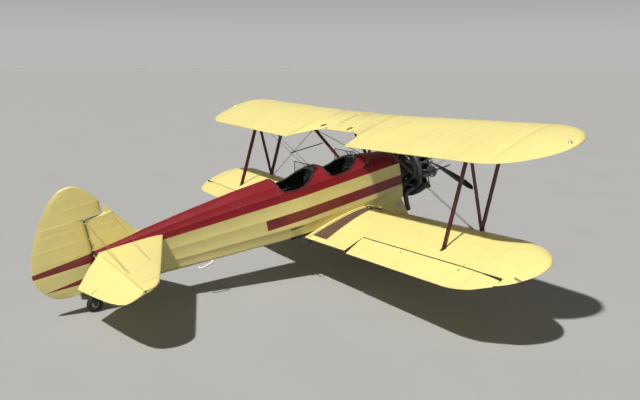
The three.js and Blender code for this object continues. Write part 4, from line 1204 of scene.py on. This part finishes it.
def cylinder_shapes():
    """One cylinder standing up: barrel, head, bright parts, black leads, intake pipe and exhaust port."""
    case, head = ENGINE["case"], ENGINE["head"]
    barrel = turned([(0, case - 0.03), (0.084, case - 0.03), (0.084, case + 0.012), (0.07, case + 0.018)]
                    + fin_stack(case + 0.02, case + 0.17, 15, 0.068, 0.094)
                    + [(0.07, case + 0.175), (0, case + 0.175)], "z", 28)
    crown = turned([(0, case + 0.17), (0.075, case + 0.17)]
                   + fin_stack(case + 0.175, head - 0.012, 9, 0.074, 0.099)
                   + [(0.05, head - 0.006), (0, head)], "z", 28)
    bright, leads = Shape(), Shape()
    for k in BOTH:
        at = (k * 0.062, k * 0.03, head)
        crown.join(block(at, 0.026, 0.032, (-0.07, 0.002)))
        bright.join(block(at, 0.028, 0.034, (0.002, 0.011)))
        for dx, dy in ((-0.02, -0.026), (0.02, -0.026), (-0.02, 0.026), (0.02, 0.026)):
            bright.join(bolt((at[0] + dx, at[1] + dy, head + 0.0108), (0, 0, 1), 0.0035, 0.0015))
    for y in (-0.045, 0.045):
        bright.join(pipe([(0.108, y * 1.5, case - 0.02), (0.112, y * 1.25, case + 0.12),
                          (0.1, y * 0.9, head - 0.07)], 5, 0.0095, 10),
                    tube([(0.108, y * 1.5, case - 0.03), (0.108, y * 1.5, case + 0.005)], 0.015, 10))
    for k in BOTH:
        plug_end = (k * 0.012, k * 0.112, head - 0.062)
        bright.join(tube([(k * 0.01, k * 0.07, head - 0.07), plug_end], 0.009, 8))
        leads.join(pipe([plug_end, (k * 0.03, k * 0.125, head - 0.12), (0.1, k * 0.09, case + 0.06),
                         (0.13, k * 0.05, case - 0.03)], 5, 0.005, 8))
    intake = pipe([(-0.14, 0, case - 0.06), (-0.152, 0.03, case + 0.09), (-0.135, 0.045, head - 0.13),
                   (-0.06, 0.04, head - 0.062)], 6, 0.023, 16)
    port = pipe([(-0.04, -0.04, head - 0.075), (-0.12, -0.06, head - 0.082), (-0.19, -0.055, head - 0.105),
                 (-0.235, -0.02, head - 0.125)], 6, 0.03, 16)
    return barrel, crown, bright, leads, intake, port


def bolts_round(x, radius, count, r, length, shift=0.0):
    """Bolt heads on a circle about the thrust line, facing forward."""
    return [bolt((x, radius * math.sin(t), radius * math.cos(t)), (1, 0, 0), r, length)
            for t in circle(count, shift)]


def engine_pieces():
    kinds = cylinder_shapes()
    groups = [Shape() for _ in kinds]
    for t in circle(ENGINE["cylinders"]):
        turn = Matrix.Translation((ENGINE["x"], 0, 0)) @ Matrix.Rotation(t, 4, "X")
        for group, part in zip(groups, kinds):
            group.join(part, matrix=turn)
    cylinders, heads, brights, wiring, intakes, ports = groups
    case = ENGINE["case"]
    crank = turned([(0, 0.47), (0.19, 0.47), (0.2, 0.5), (0.225, 0.53), (case, 0.56), (case, 0.63),
                    (case + 0.006, 0.64), (case + 0.006, 0.66), (case, 0.67), (case, 0.79), (0.225, 0.83),
                    (0.2, 0.862), (0.195, 0.875), (0.16, 0.895), (0.12, 0.91), (0.108, 0.925), (0.095, 0.955),
                    (0.09, 0.984), (0, 0.984)], "x", 56)
    ring = turned([(0.205, 0.868), (0.218, 0.878), (0.205, 0.892), (0.192, 0.88)], "x", 56)
    piece("cylinder_barrels", cylinders, barrel_metal, ("engine",), sharp=30)
    piece("cylinder_heads", heads, head_metal, sharp=30)
    piece("engine_fittings", brights, steel)
    piece("ignition_leads", wiring.join(ring), black)
    piece("intake_pipes", intakes, dark)
    piece("exhaust_ports", ports, pipe_metal)
    piece("crankcase", crank.join(*bolts_round(0.868, 0.185, 14, 0.008, 0.02, 0.5)), alloy)


def collector_shape():
    """The exhaust ring behind the cylinders, its joint sleeves, and the tail pipe."""
    x, radius = 0.455, 0.42
    made = tube([vec(x, radius * math.sin(t), radius * math.cos(t)) for t in np.linspace(0, 2 * math.pi, 85)],
                0.058, 18)
    made.join(pipe([(0.475, -0.225, -0.345), (0.38, -0.245, -0.362), (0.25, -0.25, -0.385),
                    (0.185, -0.25, -0.46), (0.182, -0.25, -0.6), (0.2, -0.25, -0.763)], 8, 0.048, 20))
    for t in circle(ENGINE["cylinders"], 0.5):
        along = vec(0, math.cos(t), -math.sin(t)) * 0.012
        at = vec(x, radius * math.sin(t), radius * math.cos(t))
        made.join(tube([at - along, at + along], 0.0595, 18))
    return made


# Blade sections as (radius, chord, thickness, angle)
BLADE = [(0.05, 0.07, 0.06, 50), (0.1, 0.08, 0.055, 47), (0.2, 0.115, 0.045, 42), (0.32, 0.165, 0.036, 36),
         (0.45, 0.2, 0.028, 31), (0.8, 0.22, 0.019, 22), (1.12, 0.19, 0.013, 16), (1.25, 0.13, 0.01, 14),
         (1.28, 0.09, 0.008, 14), (1.294, 0.05, 0.006, 14)]
PROP_REST = Matrix.Rotation(math.radians(18.6), 4, "X")


def propeller_shape():
    rings = []
    for r, chord, thick, angle in BLADE:
        c, s = math.cos(math.radians(angle)), math.sin(math.radians(angle))
        ring = []
        for t in circle(20, 0.5):
            along, out = chord / 2 * math.cos(t), thick / 2 * math.sin(t) * (0.6 + 0.4 * math.cos(t))
            ring.append(vec(PROP_X + along * s + out * c, r, along * c - out * s))
        rings.append(ring)
    blade = Shape().loft(rings)
    return Shape().join(blade, blade.moved(Matrix.Rotation(math.pi, 4, "X"))).moved(PROP_REST)


def propeller_hub():
    hub = turned([(0, 0.986), (0.055, 0.986), (0.062, 1.0), (0.066, 1.01), (0.066, 1.06), (0.062, 1.075),
                  (0.045, 1.08), (0.045, 1.105), (0.04, 1.11), (0.03, 1.115), (0.028, 1.158), (0, 1.16)],
                 "x", 32)
    hub.join(*bolts_round(1.076, 0.054, 8, 0.006, 0.012))
    for k in (1, -1):
        hub.join(tube([vec(PROP_X, k * 0.085, 0), vec(PROP_X, k * 0.125, 0)], 0.043, 20), matrix=PROP_REST)
    return hub


engine_pieces()
piece("exhaust_collector", collector_shape(), pipe_metal, ("exhaust",))
piece("propeller_blades", propeller_shape(), black, ("propeller",), "propeller")
piece("propeller_hub", propeller_hub(), steel, body="propeller")


# Undercarriage
def tire_shape(radius, width, rim, tread):
    """A tyre with a round section, and grooves at the distances that tread gives."""
    made = [(lerp(rim, radius, math.sin(t) ** 0.7), -width / 2 * math.cos(t))
            for t in (math.pi * i / 24 for i in range(25))]
    for k in tread:
        at = next(i for i, (r, d) in enumerate(made) if d > k)
        r = made[at][0]
        made[at:at] = [(r, k - 0.004), (r - 0.006, k - 0.003), (r - 0.006, k + 0.003), (r, k + 0.004)]
    return turned(made, "y", 64)


def hub_shape(rim, half, bore):
    outside = [(bore, 1), (rim * 0.42, 1), (rim * 0.46, 0.94), (rim * 0.75, 0.72), (rim * 0.9, 0.8),
               (rim - 0.004, 0.97), (rim - 0.001, 0.9)]
    profile = [(r, -half * d) for r, d in outside] + [(r, half * d) for r, d in reversed(outside)]
    made = turned(profile, "y", 48)
    for k in BOTH:
        for t in circle(6):
            at = (rim * 0.6 * math.cos(t), k * half * 0.83, rim * 0.6 * math.sin(t))
            made.join(bolt(at, (0, k, 0), rim * 0.035, rim * 0.03))
    return made


tire = tire_shape(WHEEL["tire"], WHEEL["width"], WHEEL["rim"], (-0.045, -0.015, 0.015, 0.045))
for side, s in SIDES:
    at = Matrix.Translation((WHEEL["x"], s * WHEEL["y"], WHEEL["z"]))
    piece(f"main_tire_{side}", tire.moved(at), rubber, (f"tire_{side}",), f"wheel_{side}")
    piece(f"main_hub_{side}", hub_shape(WHEEL["rim"], 0.075, 0.021).moved(at), cream_metal,
          (f"wheel_{side}",), f"wheel_{side}")
at = Matrix.Translation(TO_ROW.inverted() @ (sum(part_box("tail_tire"), Vector()) / 2))
piece("tail_tire_round", tire_shape(0.127, 0.082, 0.06, (-0.012, 0.012)).moved(at), rubber,
      ("tail_tire",), "tail_wheel")
piece("tail_hub_round", hub_shape(0.06, 0.03, 0.01).moved(at), alloy, ("tail_hub",),
      "tail_wheel")


# Small things on the surfaces: rigging, seams, caps, handles and plates
def on_wing(wing, y, d, lift=0.0):
    """A point on a wing panel's top at y, d behind its leading edge, starboard or port by y's sign."""
    p = section_point(wing, abs(y), d, True) + vec(0, 0, lift)
    if abs(y) > wing["inner"]:
        p = raise_panel(wing) @ p
    return vec(p.x, math.copysign(p.y, y), p.z)


def wing_patch(wing, rows, lift=0.0012):
    """A thin sheet lying on a wing's top. Each row is d behind the leading edge, and its two y."""
    rings = []
    for d in np.linspace(rows[0][0], rows[-1][0], 14):
        _, y0, y1 = flat_section(rows, d)
        top = [on_wing(wing, y, d, lift) for y in np.linspace(y0, y1, 7)]
        rings.append(top + [p - vec(0, 0, 0.0022) for p in reversed(top)])
    return Shape().loft(rings)


def disc(at, *profile, segments=28):
    """A round piece standing on a point, from a profile of (radius, height)."""
    return turned(profile, "z", segments, at)


def deck_band(x):
    """A joint strip across the deck at x with its row of small fasteners."""
    rings, heads = [], Shape()
    for at in (x - 0.008, x + 0.008):
        half = fuselage_profile(at)[:5]
        line = [(-y, z) for y, z in reversed(half[1:])] + half
        rings.append([vec(at, y * 1.001, z + (0.0015 if z > 0.3 else 0)) for y, z in line]
                     + [vec(at, y * 0.995, z - 0.003) for y, z in reversed(line)])
    outer = rings[0][:len(line)]
    for a, b in zip(outer, outer[1:]):
        for k in (0.2, 0.5, 0.8):
            at = vec(x, lerp(a.y, b.y, k), lerp(a.z, b.z, k))
            heads.join(bolt(at, (0, at.y, at.z - 0.1), 0.0035, 0.0015))
    return Shape().loft(rings), heads


def tail_stays():
    """Two rods from the fin to the stabilizer's rear spar, and one to its front."""
    rods = Shape()
    for a, b in ((vec(-5.69, 0.036, 0.893), vec(-5.585, 1.395, 0.366)),
                 (vec(-5.69, 0.036, 0.88), vec(-5.61, 1.38, 0.366)),
                 (vec(-5.285, 0.026, 0.885), vec(-5.205, 1.157, 0.36))):
        rods.join(tube([a, b], 0.0022, 8))
        for at, out in ((a, vec(0, 1, 0)), (b, vec(0, 0, 1))):
            rods.join(bolt(at - out * 0.004, out, 0.008, 0.006))
    return rods


def tail_details():
    pair("tail_stays", tail_stays(), steel)
    collar = turned([(0.019, 0.068), (0.034, 0.068), (0.036, 0.08), (0.03, 0.1), (0.019, 0.104)], "y", 24,
                    (ELEVATOR["x"], 0, ELEVATOR["z"])).join(box(-5.7, -5.67, 0.078, 0.084, 0.33, 0.41))
    pair("elevator_horn", collar.moved(DROOP), black, body="elevators")
    # The trim tab's outline, in cream darkened as painted shade of its gap.
    tab = Shape().join(box(-6.0, -5.99, 0.53, 1.07, 0.332, 0.3455),
                       box(-6.12, -5.99, 1.065, 1.075, 0.332, 0.3455))
    pair("tab_line", tab.moved(DROOP), painted_shade_cream, body="elevators")
    pads = Shape()
    for y in (0.34, 1.066, 1.782):
        share = flat_section(STABILIZER, y)[3]
        for k in BOTH:
            pads.join(block((-5.632, y, ELEVATOR["z"] + k * 0.0355 * share), 0.014, 0.008, 0.002))
    pads.join(disc((-5.22, 1.2, 0.36), (0, 0.0005), (0.05, 0.0005), (0.052, 0.002), (0.045, 0.004),
                   (0, 0.004)))
    pair("stabilizer_fittings", pads, cream_metal)
    hinges = [block((-5.71, k * 0.035, z), 0.014, 0.002, 0.009) for z in (0.43, 0.612, 0.86) for k in BOTH]
    piece("rudder_hinges", Shape().join(*hinges), white_paint)
    # A strip in the gap behind the tail post and a wedge under the horn, in cream darkened as painted shade
    # of the gap.
    wedge = ((-5.69, 0.9), (-5.41, 0.92), (-5.41, 0.928), (-5.69, 0.91))
    gap_shade_strips = box(-5.7135, -5.704, -0.02, 0.02, 0.4, 0.9)
    gap_shade_strips.loft([[vec(x, y, z) for x, z in wedge] for y in (-0.012, 0.012)])
    piece("rudder_gap_shade", gap_shade_strips, painted_shade_cream)
    boot = [[vec(x, wide * math.cos(q), z + high * math.sin(q)) for q in circle(24)] for x, wide, high, z in (
        (-5.52, 0.05, 0.03, -0.12), (-5.58, 0.075, 0.06, -0.15), (-5.7, 0.08, 0.09, -0.2),
        (-5.8, 0.07, 0.1, -0.25), (-5.86, 0.055, 0.08, -0.3))]
    piece("tail_boot", Shape().loft(boot), black)
    horns = Shape()
    outline = ((-5.73, 0.03), (-5.765, 0.12), (-5.785, 0.12), (-5.81, 0.03))
    for k in BOTH:
        horns.loft([[vec(x, k * y, z) for x, y in outline] for z in (0.236, 0.242)])
        horns.join(bolt((-5.775, k * 0.112, 0.242), (0, 0, 1), 0.007, 0.008))
    piece("rudder_horns", horns, black, body="rudder")


def wing_details():
    """Seam lines in painted shade, caps and sight gauges, hand grips, and the cloth patches on both wings."""
    shaded_seams = wing_patch(UPPER, [(0.03, 0.155, 0.163), (0.35, 0.147, 0.155), (0.85, 0.105, 0.113)])
    caps, patches, grips = Shape(), Shape(), Shape()
    for k in BOTH:
        patches.join(wing_patch(UPPER, [(0.01, k * 0.935, k * 0.985), (1.38, k * 0.935, k * 0.985)], 0.001))
    for d, y, r in ((0.35, 0.15, 0.034), (0.05, 0.17, 0.045)):
        caps.join(disc(on_wing(UPPER, y, d), (0, -0.01), (r, -0.01), (r, 0.006), (r * 0.8, 0.011),
                       (0, 0.012)))
    for y in (0.44, -0.41):
        at = on_wing(UPPER, y, 0.99, 0.002)
        well = [at + vec(0.062 * math.cos(q), 0.036 * math.sin(q), 0.005 * math.cos(q))
                for q in np.linspace(0, 2 * math.pi, 25)]
        handle = [at + vec(0.05, 0, -0.002), at + vec(0, 0, 0.013), at + vec(-0.05, 0, -0.005)]
        grips.join(tube(well, 0.005, 8), pipe(handle, 5, 0.007, 8))
    for y in (-0.666, 0.937):
        at = vec(0.004, y, 1.168)
        caps.join(block(at, (-0.03, 0), 0.016, (-0.02, 0.03)),
                  tube([at + vec(-0.015, 0, 0.02), at + vec(-0.015, 0, 0.058)], [0.012, 0.007], 10))
    for y in (1.3, 2.5, 3.9):
        for k in BOTH:
            patches.join(disc(on_wing(LOWER, k * y, 0.62), (0, -0.004), (0.05, -0.004), (0.05, 0.001),
                              (0.046, 0.002), (0, 0.002)))
    for k in BOTH:
        shaded_seams.join(wing_patch(LOWER, [(0.96, k * 4.69, k * 4.8), (1.0, k * 4.69, k * 4.8)]))
    piece("wing_shaded_seams", shaded_seams, painted_shade_cream)
    piece("wing_caps", caps, cream_metal)
    piece("wing_patches", patches, tape)
    piece("wing_grips", grips, dark)


def wing_side_details(side, s):
    """Walkway, aileron hinges and tip lamp of one side."""
    walk = wing_patch(LOWER, [(0.2, s * 0.54, s * 0.73), (1.42, s * 0.5, s * 0.93)])
    piece(f"walkway_{side}", walk, grit)
    # A black strip across the walkway's front, and a thin black strip along the wing's root as painted shade
    # of the gap at the fuselage.
    black_strips = wing_patch(LOWER, [(0.15, s * 0.5, s * 0.93), (0.235, s * 0.5, s * 0.93)], 0.003)
    black_strips.join(wing_patch(LOWER, [(0.19, s * 0.47, s * 0.482), (1.5, s * 0.47, s * 0.482)], 0.0014))
    piece(f"walkway_strip_and_root_shade_{side}", black_strips, black)
    brackets, links = Shape(), Shape()
    for y in (2.66, 3.9):
        brackets.join(block(section_point(LOWER, y, 1.085, True), (-0.012, 0.025), 0.006, (-0.006, 0.002)))
        links.join(block(section_point(LOWER, y, 1.185, True), (-0.025, 0.012), 0.006, (-0.006, 0.002)))
    piece(f"aileron_brackets_{side}", on_side(s, brackets.moved(raise_panel(LOWER))), dark)
    piece(f"aileron_straps_{side}", on_side(s, links.moved(aileron_rest(s))), dark,
          body=f"aileron_{side}")
    at = on_wing(UPPER, s * 4.83, 0.66, 0.004)
    base = disc(at, (0, -0.012), (0.026, -0.012), (0.03, 0), (0.022, 0.01), (0, 0.01), segments=24)
    piece(f"tip_lamp_base_{side}", base, alloy)
    dome = disc(at, (0, 0), (0.021, 0), (0.021, 0.014), (0.017, 0.027), (0.009, 0.035), (0, 0.037),
                segments=24)
    piece(f"tip_lamp_{side}", dome, lamp_glass)


# Pipes on the fuselage's sides: points in (x, y to the side, z), steps, radius and sides round
HANDLE = (((-3.955, 0.222, -0.34), (-3.97, 0.262, -0.352), (-4.08, 0.262, -0.372), (-4.185, 0.255, -0.385),
           (-4.2, 0.205, -0.37)), 6, 0.016, 12)
BRAKE = (((-0.4, 0.36, -0.46), (-0.45, 0.5, -0.66), (-0.41, 0.7, -1.0), (-0.37, 0.815, -1.25),
          (-0.35, 0.85, -1.33)), 8, 0.0065, 8)
STEP = (((-2.3, 0.3, -0.47), (-2.3, 0.42, -0.56), (-2.3, 0.5, -0.56), (-2.2, 0.5, -0.56), (-2.2, 0.42, -0.56),
         (-2.2, 0.3, -0.47)), 5, 0.01, 10)
# The fairing beside a gear leg: rear x, front x, y, z and half thickness
FAIRING = ((-0.86, -0.03, 0.33, -0.4, 0.03), (-0.8, -0.03, 0.385, -0.47, 0.04),
           (-0.62, -0.035, 0.45, -0.56, 0.05), (-0.5, -0.05, 0.55, -0.7, 0.055),
           (-0.45, -0.08, 0.66, -0.88, 0.05), (-0.46, -0.17, 0.76, -1.06, 0.036))


def fuselage_details():
    (front, front_row), (rear, rear_row) = deck_band(-0.61), deck_band(-3.26)
    piece("deck_bands", front.join(rear), maroon)
    piece("deck_fasteners", front_row.join(rear_row), steel)
    for side, s in SIDES:
        def side_pipe(points, steps, r, sides):
            return pipe([(x, s * y, z) for x, y, z in points], steps, r, sides)

        piece(f"lift_handle_{side}", side_pipe(*HANDLE), white_paint)
        rings = []
        for x0, x1, y, z, thick in FAIRING:
            rings.append([vec(lerp(x0, x1, (1 + a) / 2), s * (y + thick * b * (0.75 + 0.25 * a)), z)
                          for a, b in ((math.cos(q), math.sin(q)) for q in circle(24))])
        piece(f"gear_plate_{side}", Shape().loft(rings), cream_metal)
        badge = box(-0.225, -0.11, *sorted((s * 0.452, s * 0.469)), -0.565, -0.47)
        badge.join(bolt((-0.167, s * 0.469, -0.518), (0, s, 0), 0.03, 0.004))
        piece(f"gear_hatch_{side}", badge, alloy)
        piece(f"brake_line_{side}", side_pipe(*BRAKE), black)
        piece(f"foot_step_{side}", side_pipe(*STEP), black)


def squarish(q, power):
    """A point on a rounded square at the angle q."""
    return [math.copysign(abs(v) ** power, v) for v in (math.cos(q), math.sin(q))]


def random_hoses():
    """Hoses from the firewall to the engine, and one thick duct to each side."""
    hoses = Shape()
    for _ in range(12):
        a = vec(0.03, random.uniform(-0.33, 0.33), random.uniform(-0.4, 0.2))
        q, r = random.uniform(0, 2 * math.pi), random.uniform(0.14, 0.22)
        b = vec(0.47, r * math.sin(q), r * math.cos(q))
        mid = (a + b) / 2 + vec(0, random.uniform(-0.12, 0.12), random.uniform(-0.16, 0.02))
        line = [a, a + vec(0.07, 0, 0), mid, b - vec(0.05, 0, 0), b]
        hoses.join(pipe(line, 6, random.choice((0.007, 0.01, 0.014)), 10))
    for k in BOTH:
        hoses.join(pipe([(0.03, k * 0.25, -0.12), (0.14, k * 0.3, -0.2), (0.3, k * 0.3, -0.27),
                         (0.45, k * 0.22, -0.3)], 6, 0.022, 12))
    return hoses


def sump_ring(x, half, low):
    """A section of the sump: deep below its middle line, shallow above it."""
    return [vec(x, half * math.sin(q), low + 0.2 - (0.2 if math.cos(q) > 0 else 0.1) * math.cos(q))
            for q in circle(28)]


def engine_details():
    """What fills the bay between the firewall and the cylinders."""
    rings = []
    for y in np.linspace(-0.3, 0.3, 13):
        full = math.sqrt(max(0.0, 1 - (abs(y) / 0.302) ** 5))
        corners = [squarish(q, 0.5) for q in circle(24)]
        rings.append([vec(0.17 + 0.14 * a * full, y, 0.3 - 0.08 * abs(y) + 0.1 * b * full)
                      for a, b in corners])
    # The oil tank is near black, as painted shade of the engine bay.
    piece("oil_tank", Shape().loft(rings), painted_shade_lining)
    sump = [sump_ring(*row) for row in ((0.26, 0.2, -0.5), (0.3, 0.27, -0.55), (0.45, 0.3, -0.585),
                                        (0.62, 0.3, -0.585), (0.72, 0.24, -0.55))]
    piece("oil_sump", Shape().loft(sump), barrel_metal)
    magneto = [(0, 0.3), (0.05, 0.3), (0.056, 0.31), (0.056, 0.38), (0.066, 0.39), (0.066, 0.41),
               (0.05, 0.43), (0, 0.47)]
    starter = [(0, 0.22), (0.07, 0.22), (0.075, 0.24), (0.075, 0.33), (0.055, 0.36), (0.055, 0.45), (0, 0.47)]
    units = Shape().join(*[turned(magneto, "x", 24, (0, k * 0.17, 0.12)) for k in BOTH])
    units.join(turned(starter, "x", 28, (0, 0, -0.02)), box(0.28, 0.42, -0.07, 0.07, -0.42, -0.27),
               turned([(0, 0.05), (0.05, 0.05), (0.05, 0.26), (0, 0.26)], "x", 20, (0, 0.18, -0.24)))
    # The accessories are near black, as painted shade of the engine bay.
    piece("engine_accessories", units, painted_shade_lining)
    section = ((-1, -0.5), (-0.9, -0.53), (0.9, -0.53), (1, -0.5), (1, -0.44), (0.9, -0.41), (-0.9, -0.41),
               (-1, -0.44))
    scoop = [[vec(x, y * wide, z) for y, z in section]
             for x, wide in ((0.05, 0.11), (0.3, 0.12), (0.52, 0.13), (0.56, 0.125))]
    piece("air_scoop", Shape().loft(scoop), black)
    piece("engine_hoses", random_hoses(), black)


tail_details()
wing_details()
for side, s in SIDES:
    wing_side_details(side, s)
fuselage_details()
engine_details()

# Seat cushions, in metres: length, width, thickness, and how far the cloth may move
CUSHION = dict(length=0.205, wide=0.37, thick=0.058, cap=0.009, voxel=0.0075)
CHANNELS = (-0.09, 0, 0.09)
CHANNEL_SIZE = 0.007


def soft_cushion():
    """A seat cushion's points and faces about its centre: cloth under pressure, its movement capped."""
    def ring(z, inset):
        corners = [squarish(q, 0.45) for q in circle(40)]
        return [(a * (CUSHION["length"] / 2 - inset), b * (CUSHION["wide"] / 2 - inset), z)
                for a, b in corners]

    def read():
        return bpy.data.meshes.new_from_object(o.evaluated_get(bpy.context.evaluated_depsgraph_get()))

    h = CUSHION["thick"] / 2
    form = Shape().loft([ring(-h, 0.018), ring(-h + 0.006, 0.006), ring(-h / 2, 0), ring(h / 2, 0),
                         ring(h - 0.006, 0.006), ring(h, 0.018)])
    mesh = bpy.data.meshes.new("cushion")
    mesh.from_pydata(form.points, [], form.faces)
    o = link("cushion", mesh)
    net = o.modifiers.new("net", "REMESH")
    net.mode, net.voxel_size = "VOXEL", CUSHION["voxel"]
    bpy.context.view_layer.update()
    o.data = read()
    o.modifiers.clear()
    start = [v.co.copy() for v in o.data.vertices]
    swollen = o.data
    cloth = o.modifiers.new("cloth", "CLOTH").settings
    cloth.quality, cloth.mass = 5, 0.3
    cloth.use_pressure, cloth.uniform_pressure_force = True, 4
    cloth.effector_weights.gravity = 0
    for f in range(1, 21):
        bpy.context.scene.frame_set(f)
    swollen = read()
    bpy.context.scene.frame_set(1)
    points = []
    for a, v in zip(start, swollen.vertices):
        move = v.co - a
        if move.length > CUSHION["cap"]:
            move *= CUSHION["cap"] / move.length
        q = a + move
        for y in CHANNELS:
            q.z -= CHANNEL_SIZE * math.exp(-((q.y - y) / CHANNEL_SIZE) ** 2) * (1 if q.z > 0 else 0)
        points.append(q)
    made = Shape().add(points, [tuple(f.vertices) for f in swollen.polygons])
    bpy.data.objects.remove(o)
    return made


pad = soft_cushion()
for name, _, _, _, seat_x in COCKPITS:
    o = piece(f"seat_cushion_{name}", pad.moved(Matrix.Translation((seat_x + 0.082, 0, -0.047))), leather,
              (f"cushion_{name}",), sharp=180)
    o.modifiers.new("smooth", "SUBSURF").levels = 1

# Every CAD node that stays gets its finish here
KEPT = ((black, ("engine_mount", "accessory_case", "panel_front", "panel_rear", "stick_front", "stick_rear",
                 "javelin_left", "javelin_right")),
        (dark, ("tail_arm", "tail_fork")),
        (interior, ("seat_front", "seat_rear")),
        (cream_metal, ("gear_leg_left", "gear_leg_right")))
for material, names in KEPT:
    for name in names:
        for slot in frame["nodes"][name].material_slots:
            slot.material = material


# Camera at the photograph's place, the plain floor and the lights
def make_camera():
    data = bpy.data.cameras.new("camera")
    data.lens, data.sensor_width = 38.897, 36
    data.shift_x, data.shift_y = -0.0018, 0.00635
    yaw, pitch, roll = (Matrix.Rotation(math.radians(angle), 3, axis)
                        for angle, axis in ((59.617, "Z"), (17.291, "Y"), (9.874, "X")))
    turn = yaw @ pitch @ roll
    right, up, back = -(turn @ vec(0, 1, 0)), turn @ vec(0, 0, 1), -(turn @ vec(1, 0, 0))
    local = Matrix((right, up, back)).transposed().to_4x4()
    local.translation = (-7.717, -10.461, 3.643)
    o = link("camera", data)
    o.matrix_world = TO_ROW @ local
    bpy.context.scene.camera = o


def lamp(name, kind, at, energy, color, target):
    data = bpy.data.lights.new(name, kind)
    data.energy, data.color = energy, color
    o = link(name, data)
    o.location = at
    o.rotation_euler = (Vector(target) - Vector(at)).to_track_quat("-Z", "Y").to_euler()
    return data


make_camera()
to_sun = (TO_ROW.to_3x3() @ vec(-0.34, -0.21, 1)).normalized()
lamp("key", "SUN", to_sun * 20, 4.55, (1, 0.985, 0.95), (0, 0, 0)).angle = 0.035
fill = lamp("fill", "AREA", (-26, -24, 13), 500, (1, 0.99, 0.97), (0, 0, 1))
fill.shape, fill.size = "DISK", 18
world = bpy.data.worlds.new("studio")
bpy.context.scene.world = world
world.use_nodes = True
height = add_node(world, "SeparateXYZ", Vector=add_node(world, "TexCoord").outputs["Generated"]).outputs["Z"]
horizon = (0.48, 0.48, 0.475)
sky = ramp(world, height, [(0.0, horizon), (0.04, horizon), (0.25, (0.16, 0.164, 0.172)),
                           (1, (0.13, 0.134, 0.145))])
plug(world, world.node_tree.nodes["Background"], Color=sky)
bpy.context.scene.view_settings.view_transform = "Standard"

FLOOR = 900
floor_mesh = bpy.data.meshes.new("floor")
floor_mesh.from_pydata([(-FLOOR, -FLOOR, 0), (FLOOR, -FLOOR, 0), (FLOOR, FLOOR, 0), (-FLOOR, FLOOR, 0)], [],
                       [(0, 1, 2, 3)])
floor_mesh.materials.append(finish("floor_pale", (0.34, 0.34, 0.335), 0.9, vary=0.03, scale=0.6, bump=0.02))
floor = link("floor", floor_mesh)
